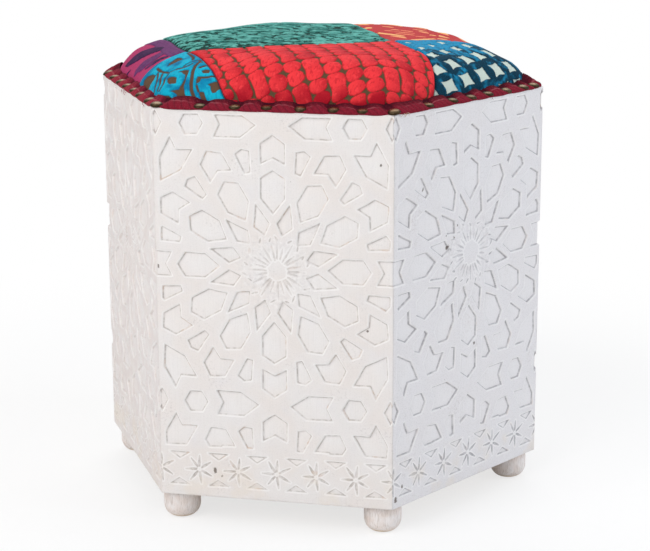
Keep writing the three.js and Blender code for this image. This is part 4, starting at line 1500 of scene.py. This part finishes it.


# Flat ground, pile in shade and in light, colour and strength of the lustre, and how much painted shade
# darkens the edge of the pile
VELVETS = {
    "red": ((0.13, 0.085, 0.045), (0.38, 0.004, 0.016), (0.86, 0.042, 0.050), (0.9, 0.30, 0.30), 0.10, 0.6),
    "cyan": ((0.145, 0.080, 0.048), (0.0, 0.15, 0.33), (0.003, 0.42, 0.60), (0.3, 0.8, 0.9), 0.05, 0.8),
    "purple": ((0.50, 0.050, 0.16), (0.030, 0.009, 0.050), (0.16, 0.040, 0.15), (0.7, 0.4, 0.7), 0.06, 0.3),
    "teal": ((0.006, 0.040, 0.032), (0.016, 0.155, 0.130), (0.13, 0.46, 0.40), (0.4, 0.85, 0.8), 0.06, 0.35),
    "orange": ((0.63, 0.060, 0.065), (0.86, 0.24, 0.14), (0.95, 0.52, 0.20), (0.9, 0.5, 0.4), 0.06, 0.0),
    "blue": ((0.72, 0.82, 0.73), (0.0, 0.026, 0.050), (0.008, 0.275, 0.50), (0.35, 0.65, 0.95), 0.07, 0.5),
}


def velvets():
    return {patch: velvet(f"{patch}_velvet", *looks) for patch, looks in VELVETS.items()}


# Foam pad under the cover

FOAM_STEPS = 96
FOAM_DEPTH = 4.6  # under the outside of the cover
FOAM_RING_SHARES = (1.0, 0.995, 0.98, 0.95, 0.9, 0.82, 0.7, 0.55, 0.38, 0.2, 0.08)


def foam_pad(material):
    angles = bearings(FOAM_STEPS)
    bottom = PANEL_TOP + GLUE_GAP
    edge_height = PANEL_TOP + CUSHION_EDGE_RISE
    rings = []
    for share in FOAM_RING_SHARES:
        out, rise = crown_point(np.interp(share, RING_SHARES, CLOTH_SHARES), angles)
        reach = out * (CUSHION_APOTHEM - FOAM_DEPTH) / sideward(angles)
        if not rings:
            rings.append(polar_points(reach, angles, bottom))
        rings.append(polar_points(reach, angles, edge_height + rise - FOAM_DEPTH))
    peak = edge_height + CUSHION_CROWN_RISE - FOAM_DEPTH
    points = np.concatenate(rings + [[[0, 0, bottom], [0, 0, peak]]])
    faces = capped_rings(len(rings), FOAM_STEPS)
    piece = make_piece("foam_filling", points, faces, materials=[material])
    dress(piece, "foam", "foam_pad")
    return piece


def foam_finish():
    finish = Finish("open_foam")
    place = finish.place()
    pores = finish.cells(place, 900.0)
    cloud = finish.noise(place, 30.0, 3.0)
    colour = finish.mix(finish.band(pores, 0.1, 0.5), (0.62, 0.56, 0.38), (0.86, 0.82, 0.68))
    colour = finish.mix(cloud * 0.3, colour, (0.80, 0.70, 0.48))
    finish.surface_set(Base_Color=colour, Roughness=0.95)
    finish.bump(pores, 0.4, 0.8)
    return finish.material


# Nails and braid

# Places along each side from its left corner, as shares of its width
NAIL_SHARES = {
    0: (0.014, 0.197, 0.344, 0.476, 0.614, 0.749, 0.868, 0.994),
    1: (0.23, 0.388, 0.509, 0.625, 0.752, 0.873, 0.95),
    5: (0.042, 0.185, 0.325, 0.455, 0.595, 0.715, 0.875),
}
OTHER_NAIL_SHARES = (0.055, 0.17, 0.30, 0.42, 0.545, 0.67, 0.80, 0.925)
NAIL_RADIUS = 5.9
NAIL_DOME = 2.5
NAIL_LEAN = 9.0
NAIL_INSET, NAIL_RISE = 4.3, 1.9
NAIL_STEPS = 28
NAIL_DOME_STEPS = 9
NAIL_SHANK_RADIUS = 0.9
NAIL_SHANK_LENGTH = 5.0
NAIL_POINT_LENGTH = 1.2
NAIL_RIM_DROP = 0.6
NAIL_PRESS_REACH = 6.6
# How far a nail strays: sideways as a share of the side, in and up in millimetres, and in degrees
NAIL_STRAY_SHARE = 0.008
NAIL_STRAY = 0.5
NAIL_STRAY_IN_SHARE, NAIL_STRAY_UP_SHARE = 0.6, 0.4
NAIL_TILT = 6

RIM_LENGTH = SIDES * SIDE_WIDTH

# Places across the tape from its outer edge, as shares. At each, the inset from the outer face and
# the height over the rim are given where the tape lies free, and where a nail holds it down.
TAPE_PLACES = (0.0, 0.12, 0.35, 0.60, 0.85, 1.0)
TAPE_FREE = ((-0.7, -0.9), (-1.1, 0.9), (1.3, 3.5), (5.0, 5.5), (8.8, 7.8), (11.0, 8.2))
TAPE_NAILED = ((-0.4, -0.6), (-0.4, 0.5), (2.2, 0.9), (6.8, 1.2), (9.8, 3.9), (11.0, 6.0))
TAPE_THICKNESS = 1.1
# Rises of the tape where it is bunched: sides passed round the rim, height and spread
TAPE_BUNCHES = (
    (5.0, 4.5, 13.0), (2.0, 4.5, 12.0), (4.94, 2.0, 10.0), (1.0, 1.6, 9.0), (0.11, 1.8, 15.0),
    (3.0, 2.0, 9.0), (4.0, 2.0, 9.0),
)
TAPE_CORNER_SHARPNESS = 33
TAPE_STEP = 0.9
TAPE_ROWS = 31
TAPE_SINK = 0.5  # of its inner edge in the cushion
TAPE_LOWER_INSET_SHARE = 0.35
TAPE_HANGS_FROM = -0.1
TAPE_HANGING, TAPE_RESTING = -1.6, 0.15
STRAND_PITCH = 6.4
STRAND_SLANT = 1.8
STRAND_WANDER = 0.25
STRAND_RELIEF, RIPPLE_RELIEF, CORD_RELIEF = 0.55, 0.6, 0.35
CORD_PLACE, CORD_SPREAD = 0.55, 0.05


def side_point(side, share, inset, height):
    """A point above the rim of one side, so far in from its outer face."""
    x = (share - 0.5) * SIDE_WIDTH
    point = np.array([[x, inset - APOTHEM, PANEL_TOP + height]])
    return turn_about_z(point, side * SIDE_TURN)[0]


def nail_places():
    """Each nail as its side, its share along the side, how far in it strays, and its tilt."""
    random = np.random.default_rng(77)
    places = []
    for side in range(SIDES):
        shares = NAIL_SHARES.get(side, OTHER_NAIL_SHARES)
        for share in shares:
            drift = 0.0
            if side not in NAIL_SHARES:
                drift = random.uniform(-NAIL_STRAY_SHARE, NAIL_STRAY_SHARE)
            stray, tilt = random.uniform(-NAIL_STRAY, NAIL_STRAY), random.uniform(-NAIL_TILT, NAIL_TILT)
            places.append((side, share + drift, stray, tilt))
    return places


NAILS = nail_places()


def rim_gap(length, place):
    """Distance between two places on the rim, the short way round."""
    return np.abs(np.mod(length - place + RIM_LENGTH / 2, RIM_LENGTH) - RIM_LENGTH / 2)


def nail_press(length):
    """1 at a nail and 0 midway between nails, round the rim."""
    pressed = np.zeros(np.shape(length))
    for side, share, _, _ in NAILS:
        gap = rim_gap(length, (side + share) * SIDE_WIDTH)
        pressed = np.maximum(pressed, 1 / (1 + (gap / NAIL_PRESS_REACH) ** 4))
    return pressed


def smooth_between(places, values, place):
    """A smooth curve through values that are known at a few places."""
    places, values = np.array(places), np.array(values, float)
    slopes = np.gradient(values, places, axis=0)
    index = min(int(np.searchsorted(places, place, side="right")) - 1, len(places) - 2)
    gap = places[index + 1] - places[index]
    t = (place - places[index]) / gap
    start, end = values[index], values[index + 1]
    return (
        start * (2 * t ** 3 - 3 * t ** 2 + 1) + end * (3 * t ** 2 - 2 * t ** 3)
        + slopes[index] * gap * (t ** 3 - 2 * t ** 2 + t) + slopes[index + 1] * gap * (t ** 3 - t ** 2)
    )


def tape_point(side, across_side, inset, height):
    """A point over the rim: at inset 0 on the outer face, and at the tape's own width on the cushion."""
    local = np.arctan2(across_side, APOTHEM)
    outer = APOTHEM / sideward(local - TURN / 4, TAPE_CORNER_SHARPNESS)
    inner = (CUSHION_APOTHEM - TAPE_SINK) / sideward(local - TURN / 4)
    reach = outer + (inner - outer) * inset / TAPE_FREE[-1][0]
    angle = local - TURN / 4 + side * SIDE_TURN
    return polar_points(reach, angle, PANEL_TOP + height)


def edge_braid(material):
    """A woven tape laid over the nailed edge, pressed in at each nail and swollen between."""
    steps = int(RIM_LENGTH / TAPE_STEP)
    length = np.arange(steps) * RIM_LENGTH / steps
    side = np.floor(length / SIDE_WIDTH)
    across_side = length - (side + 0.5) * SIDE_WIDTH
    pressed = nail_press(length) * (0.9 + 0.1 * lattice_noise(length, np.zeros(steps), 31.0, 702))
    ripple = lattice_noise(length, np.zeros(steps), 13.0, 701)
    bunched = np.zeros(steps)
    for sides_passed, rise, spread in TAPE_BUNCHES:
        gap = rim_gap(length, sides_passed * SIDE_WIDTH)
        bunched = np.maximum(bunched, rise * np.exp(-(gap / spread) ** 2))
    upper, lower, marks = [], [], []
    for place in np.linspace(0, 1, TAPE_ROWS):
        free = smooth_between(TAPE_PLACES, TAPE_FREE, place)
        nailed = smooth_between(TAPE_PLACES, TAPE_NAILED, place)
        inset = free[0] + (nailed[0] - free[0]) * pressed
        height = free[1] + (nailed[1] - free[1]) * pressed
        middle = math.sin(place * math.pi)
        # Slanting strands, and a cord woven in along the middle of the tape
        turns = length / STRAND_PITCH + STRAND_SLANT * place + STRAND_WANDER * ripple
        strand = np.abs(np.sin(turns * math.pi))
        cord = math.exp(-((place - CORD_PLACE) / CORD_SPREAD) ** 2)
        relief = STRAND_RELIEF * strand + RIPPLE_RELIEF * ripple + CORD_RELIEF * cord
        swell = relief * middle + bunched * place ** 1.5
        inset = inset - (swell * (1 - place) + 0.25 * bunched * (1 - place)) * 0.7
        upper.append(tape_point(side, across_side, inset, height + swell))
        # The lower face rests on the sides, and hangs free where the tape runs out over their edge
        under = inset + TAPE_LOWER_INSET_SHARE * TAPE_THICKNESS
        lowest = np.where(under < TAPE_HANGS_FROM, TAPE_HANGING, TAPE_RESTING)
        height_under = np.maximum(height + swell - TAPE_THICKNESS * (0.25 + middle), lowest)
        lower.append(tape_point(side, across_side, under, height_under))
        marks.append(np.stack([np.full(steps, place), length, strand, pressed], -1))
    points = np.stack(upper + lower[::-1])
    marks = np.stack(marks + marks[::-1])
    number = np.arange(points.shape[0] * steps).reshape(points.shape[0], steps)
    down, after = np.roll(number, -1, axis=0), np.roll(number, -1, axis=1)
    across = np.roll(down, -1, axis=1)
    faces = list(np.stack([number, after, across, down], -1).reshape(-1, 4))
    names = ("place", "length", "rib", "pressed")
    layers = {name: marks[..., order].ravel() for order, name in enumerate(names)}
    piece = make_piece("nailed_braid", points.reshape(-1, 3), faces, layers, materials=[material])
    return dress(piece, "braid", "edge_braid")


def braid_finish():
    """Crimson tape of slanting strands, brighter at its outer edge and darker towards the cushion, partly
    its own colour and partly painted light and shade, with a pale cord along the middle.
    """
    finish = Finish("crimson_braid")
    place, length, rib = finish.layer("place"), finish.layer("length"), finish.layer("rib")
    flat = finish.pair(length, place * 15.0)
    fuzz = finish.noise(flat, 1.3, 3.0, 0.6)
    cloud = finish.noise(flat, 0.06, 3.0)
    lit = 1 - finish.band(place + (cloud - 0.5) * 0.5, 0.35, 0.95)
    # The tape of the left side is painted a brighter red, painted light where the lamp on the left falls on
    # it
    lit_left_tape = finish.band(length, 4.96 * SIDE_WIDTH, 5.04 * SIDE_WIDTH)
    dark = finish.mix(lit_left_tape, (0.070, 0.003, 0.010), (0.19, 0.012, 0.030))
    colour = finish.mix(lit, dark, finish.mix(lit_left_tape, (0.215, 0.009, 0.024), (0.30, 0.020, 0.040)))
    # Painted shade in the grooves between the strands
    colour = finish.mix((1 - finish.band(rib, 0.05, 0.60)) * 0.42, colour, (0.030, 0.002, 0.008))
    # Painted highlights in small specks
    highlight_specks = finish.noise(finish.pair(length * 1.3, place * 12.0), 1.0, 1.0)
    colour = finish.mix(finish.band(highlight_specks, 0.56, 0.70) * 0.35, colour, (0.36, 0.07, 0.10))
    colour = finish.mix(finish.band(fuzz, 0.52, 0.70) * 0.4, colour, (0.30, 0.045, 0.06))
    colour = finish.mix((1 - finish.band(fuzz, 0.32, 0.46)) * 0.5, colour, (0.035, 0.002, 0.008))
    cord = finish.band(place, 0.48, 0.52) * (1 - finish.band(place, 0.55, 0.59))
    colour = finish.mix(cord * finish.band(cloud, 0.38, 0.58) * 0.5, colour, (0.40, 0.11, 0.13))
    # Painted shade in the pockets of the tape above each nail
    pocket_shade = finish.band(finish.layer("pressed"), 0.25, 0.85) * finish.band(place, 0.52, 0.74)
    colour = finish.mix(pocket_shade * 0.6, colour, (0.040, 0.002, 0.010))
    finish.surface_set(
        Base_Color=colour, Roughness=0.85, Specular_IOR_Level=VELVET_GLOSS,
        Sheen_Weight=0.05, Sheen_Roughness=0.4, Sheen_Tint=(0.7, 0.25, 0.28),
    )
    finish.bump(fuzz * 0.7 + rib * 0.3, 0.4, 0.7)
    return finish.material


def nail_profile():
    """Radius and height of a nail, up its shank, out under its turned-in rim and over its dome."""
    profile = [
        (NAIL_SHANK_RADIUS, -NAIL_SHANK_LENGTH), (NAIL_SHANK_RADIUS, -NAIL_RIM_DROP),
        (NAIL_RADIUS * 0.86, -NAIL_RIM_DROP), (NAIL_RADIUS, -0.35), (NAIL_RADIUS, 0.1),
    ]
    for angle in np.linspace(0.12, math.pi / 2 * 0.93, NAIL_DOME_STEPS):
        profile.append((NAIL_RADIUS * math.cos(angle), NAIL_DOME * math.sin(angle)))
    return profile


def domed_nails(material):
    """All nails in one mesh: a domed head with a turned-in rim, and its shank below."""
    angles = bearings(NAIL_STEPS)
    rings = [polar_points(radius, angles, height) for radius, height in nail_profile()]
    ends = [[[0, 0, -NAIL_SHANK_LENGTH - NAIL_POINT_LENGTH], [0, 0, NAIL_DOME]]]
    nail = np.concatenate(rings + ends)
    all_points, all_faces = [], []
    for order, (side, share, stray, tilt) in enumerate(NAILS):
        inset, rise = NAIL_INSET + stray * NAIL_STRAY_IN_SHARE, NAIL_RISE + stray * NAIL_STRAY_UP_SHARE
        lean = math.radians(NAIL_LEAN + tilt)
        axis = Vector((0, -math.sin(lean), math.cos(lean)))
        turn = Vector((0, 0, 1)).rotation_difference(axis).to_matrix()
        placed = turn_about_z(nail @ np.array(turn).T, side * SIDE_TURN)
        all_points.append(placed + side_point(side, share, inset, rise))
        all_faces += capped_rings(len(rings), NAIL_STEPS, order * len(nail))
    layers = {"rise": np.tile(nail[:, 2] / NAIL_DOME, len(NAILS))}
    piece = make_piece("domed_nails", np.concatenate(all_points), all_faces, layers, materials=[material])
    return dress(piece, "nails")


def antique_brass():
    """Dulled brass, dark with age at the rim and rubbed bright on the crown."""
    finish = Finish("antique_brass")
    place, rise = finish.place(), finish.layer("rise")
    speckle = finish.noise(place, 900.0, 4.0, 0.65)
    cloud = finish.noise(place, 120.0, 3.0)
    bright = finish.band(rise + (speckle - 0.5) * 0.5, 0.35, 0.95)
    colour = finish.mix(bright, (0.050, 0.034, 0.018), (0.255, 0.18, 0.105))
    colour = finish.mix(finish.band(cloud, 0.5, 0.75) * 0.4, colour, (0.13, 0.08, 0.04))
    finish.surface_set(Base_Color=colour, Metallic=1.0, Roughness=0.50 - bright * 0.14)
    finish.bump(speckle, 0.12, 0.6)
    return finish.material


# Loose threads where the tape is cut and folded

THREAD_RADIUS = 0.22
THREAD_SIDES = 6
THREAD_STEPS = 14
THREAD_OFF_SIDE = 0.8
THREAD_BULGE = 0.9
THREAD_CURL = 0.8
THREAD_START_RISE = 0.2


def thread_tube(points):
    """Rings of points round a thin thread that follows a list of points."""
    points = np.asarray(points, float)
    angles = bearings(THREAD_SIDES)[:, None]
    rings = []
    for point, run in zip(points, np.gradient(points, axis=0)):
        run = run / np.linalg.norm(run)
        side = np.cross(run, (0.0, 0.3, 0.95))
        side /= np.linalg.norm(side)
        up = np.cross(side, run)
        rings.append(point + THREAD_RADIUS * (np.cos(angles) * side + np.sin(angles) * up))
    return np.concatenate(rings)


# Side, share along it, reach down, sideways drift, and 1 for jute or 0 for crimson
LOOSE_THREADS = [
    (5, 0.46, 4.5, -5.0, 0), (5, 0.50, 3.0, 4.0, 0), (5, 0.48, 5.5, 1.5, 0), (5, 0.86, 3.5, 2.5, 0),
    (1, 0.040, 2.6, -2.0, 1), (1, 0.055, 3.0, 1.5, 1), (1, 0.075, 2.8, 2.5, 1), (1, 0.065, 3.4, -1.0, 1),
    (1, 0.62, 3.0, 3.0, 0), (3, 0.3, 4.0, 3.0, 0),
    (2, 0.55, 3.5, -3.0, 0), (4, 0.72, 4.0, 2.5, 0),
]


def loose_threads(material):
    all_points, all_faces, jute_marks = [], [], []
    for order, (side, share, drop, drift, jute) in enumerate(LOOSE_THREADS):
        path = []
        for step in np.linspace(0, 1, THREAD_STEPS):
            x = (share - 0.5) * SIDE_WIDTH + drift * step + THREAD_CURL * math.sin(step * 5.0 + order)
            y = -APOTHEM - THREAD_OFF_SIDE - THREAD_BULGE * math.sin(step * math.pi)
            path.append([x, y, PANEL_TOP + THREAD_START_RISE - drop * step ** 1.4])
        points = thread_tube(turn_about_z(path, side * SIDE_TURN))
        start = order * len(points)
        ring = np.arange(THREAD_SIDES)
        all_faces += list(grid_faces(THREAD_STEPS, THREAD_SIDES, start, wrap=True))
        all_faces += [start + ring[::-1], start + (THREAD_STEPS - 1) * THREAD_SIDES + ring]
        all_points.append(points)
        jute_marks += [jute] * len(points)
    layers = {"jute": jute_marks}
    piece = make_piece("loose_threads", np.concatenate(all_points), all_faces, layers, materials=[material])
    return dress(piece, "braid")


def thread_finish():
    finish = Finish("frayed_thread")
    fibre = finish.noise(finish.place(), 2500.0, 2.0)
    colour = finish.mix(finish.band(fibre, 0.4, 0.6), (0.20, 0.02, 0.04), (0.36, 0.06, 0.08))
    colour = finish.mix(finish.layer("jute"), colour, (0.55, 0.42, 0.30))
    finish.surface_set(Base_Color=colour, Roughness=0.9)
    return finish.material


# Studio

def look_from_photograph():
    cosine, sine = math.cos(CAMERA_AZIMUTH), math.sin(CAMERA_AZIMUTH)
    level, tilt = math.cos(CAMERA_ELEVATION), math.sin(CAMERA_ELEVATION)
    back = Vector((sine * level, -cosine * level, tilt))
    right = Vector((cosine, sine, 0))
    up = back.cross(right)
    middle = Vector((0, 0, PANEL_BOTTOM + PANEL_HEIGHT / 2))
    place = middle + back * CAMERA_DISTANCE + right * CAMERA_ASIDE + up * CAMERA_RAISED
    rolled_right = right * math.cos(CAMERA_ROLL) + up * math.sin(CAMERA_ROLL)
    rolled_up = up * math.cos(CAMERA_ROLL) - right * math.sin(CAMERA_ROLL)
    camera = bpy.data.objects.new("camera", bpy.data.cameras.new("camera"))
    camera.data.lens = FOCAL_LENGTH
    camera.data.sensor_width = SENSOR_WIDTH
    camera.data.clip_end = CAMERA_FAR_END
    turn = Matrix((rolled_right, rolled_up, back)).transposed().to_4x4()
    camera.matrix_world = Matrix.Translation(place * MM) @ turn
    bpy.context.scene.collection.objects.link(camera)
    bpy.context.scene.camera = camera


# Lengths in metres: bearing and height of each light in degrees, distance, size, power and colour
SOFT_LIGHTS = {
    "front_left_box": (-28, 38, 3.0, 2.2, 52, (1.0, 0.985, 0.97)),
    "right_box": (88, 30, 3.0, 1.8, 32, (0.84, 0.91, 1.0)),
    "back_box": (190, 50, 3.0, 2.2, 28, (1.0, 1.0, 1.0)),
}
LIT_HEIGHT = 0.25
FLOOR_HALF = 6.0
# How white the floor looks beside the stool, and how far off it turns fully white
NEAR_WHITENESS = 0.72
WHITE_BETWEEN = (0.35, 0.9)
ROOM_COLOUR = (0.97, 0.98, 1.0, 1)
ROOM_STRENGTH = 0.42


def soft_light(name, azimuth, elevation, distance, size, power, colour):
    """A square soft box that looks at the middle of the stool."""
    light = bpy.data.lights.new(name, "AREA")
    light.shape = "SQUARE"
    light.size = size
    light.energy = power
    light.color = colour
    lamp = bpy.data.objects.new(name, light)
    a, e = math.radians(azimuth), math.radians(elevation)
    away = Vector((math.sin(a) * math.cos(e), -math.cos(a) * math.cos(e), math.sin(e)))
    target = Vector((0, 0, LIT_HEIGHT))
    lamp.location = target + away * distance
    lamp.rotation_euler = away.to_track_quat("Z", "Y").to_euler()
    bpy.context.scene.collection.objects.link(lamp)


def white_to_the_eye(finish):
    """How far the floor reads as pure white: most of it near the stool, and all of it further away."""
    rays_seen = finish.node("ShaderNodeLightPath", output="Is Camera Ray")
    mirrored = finish.node("ShaderNodeLightPath", output="Is Glossy Ray")
    reach = finish.node("ShaderNodeVectorMath", {"operation": "LENGTH"}, [finish.place()], output="Value")
    far = finish.band(reach, *WHITE_BETWEEN)
    return (rays_seen + mirrored) * (NEAR_WHITENESS + far * (1 - NEAR_WHITENESS))


def pale_floor():
    finish = Finish("pale_floor")
    mottle = finish.noise(finish.place(), 3.0, 2.0)
    finish.surface_set(Base_Color=finish.mix(mottle, (0.90, 0.90, 0.90), (0.93, 0.93, 0.93)), Roughness=0.9)
    shone = finish.node("ShaderNodeEmission", {}, {"Color": (1, 1, 1), "Strength": 1.0}, output="Emission")
    seen = finish.node("ShaderNodeMixShader", {}, {0: white_to_the_eye(finish)}, output="Shader")
    tree = finish.tree
    mixer = seen.socket.node
    tree.links.new(finish.surface.outputs[0], mixer.inputs[1])
    tree.links.new(shone.socket, mixer.inputs[2])
    tree.links.new(seen.socket, tree.nodes["Material Output"].inputs["Surface"])
    return finish.material


def studio():
    signs = np.array([(-1, -1, 0), (1, -1, 0), (1, 1, 0), (-1, 1, 0)])
    floor_points = signs * FLOOR_HALF / MM
    floor = make_piece("floor", floor_points, [(0, 1, 2, 3)], materials=[pale_floor()])
    world = bpy.data.worlds.new("studio")
    world.use_nodes = True
    tree = world.node_tree
    tree.nodes.clear()
    paths = tree.nodes.new("ShaderNodeLightPath")
    room = tree.nodes.new("ShaderNodeBackground")
    room.inputs["Color"].default_value = ROOM_COLOUR
    room.inputs["Strength"].default_value = ROOM_STRENGTH
    white = tree.nodes.new("ShaderNodeBackground")
    white.inputs["Color"].default_value = (1, 1, 1, 1)
    seen = tree.nodes.new("ShaderNodeMixShader")
    out = tree.nodes.new("ShaderNodeOutputWorld")
    tree.links.new(paths.outputs["Is Camera Ray"], seen.inputs[0])
    tree.links.new(room.outputs[0], seen.inputs[1])
    tree.links.new(white.outputs[0], seen.inputs[2])
    tree.links.new(seen.outputs[0], out.inputs[0])
    bpy.context.scene.world = world
    for name, light in SOFT_LIGHTS.items():
        soft_light(name, *light)
    bpy.context.scene.view_settings.view_transform = "Standard"


# Assembly

look_from_photograph()
studio()

side_material = whitewashed_side()
foot_material = whitewashed_foot()
for order in range(SIDES):
    carved_side(order, side_material)
for order in range(SIDES):
    turned_foot(order, foot_material)

cover_patches(velvets())
foam_pad(foam_finish())
edge_braid(braid_finish())
domed_nails(antique_brass())
loose_threads(thread_finish())

post_wood = sawn_wood("sawn_posts", (0.56, 0.40, 0.25), (0.36, 0.22, 0.12), 2)
board_wood = sawn_wood("plywood_boards", (0.66, 0.50, 0.32), (0.46, 0.31, 0.17), 0)
for node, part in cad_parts.items():
    is_post = node.startswith("corner_post")
    if is_post or node in ("base_board", "seat_board"):
        part.data.materials.clear()
        part.data.materials.append(post_wood if is_post else board_wood)
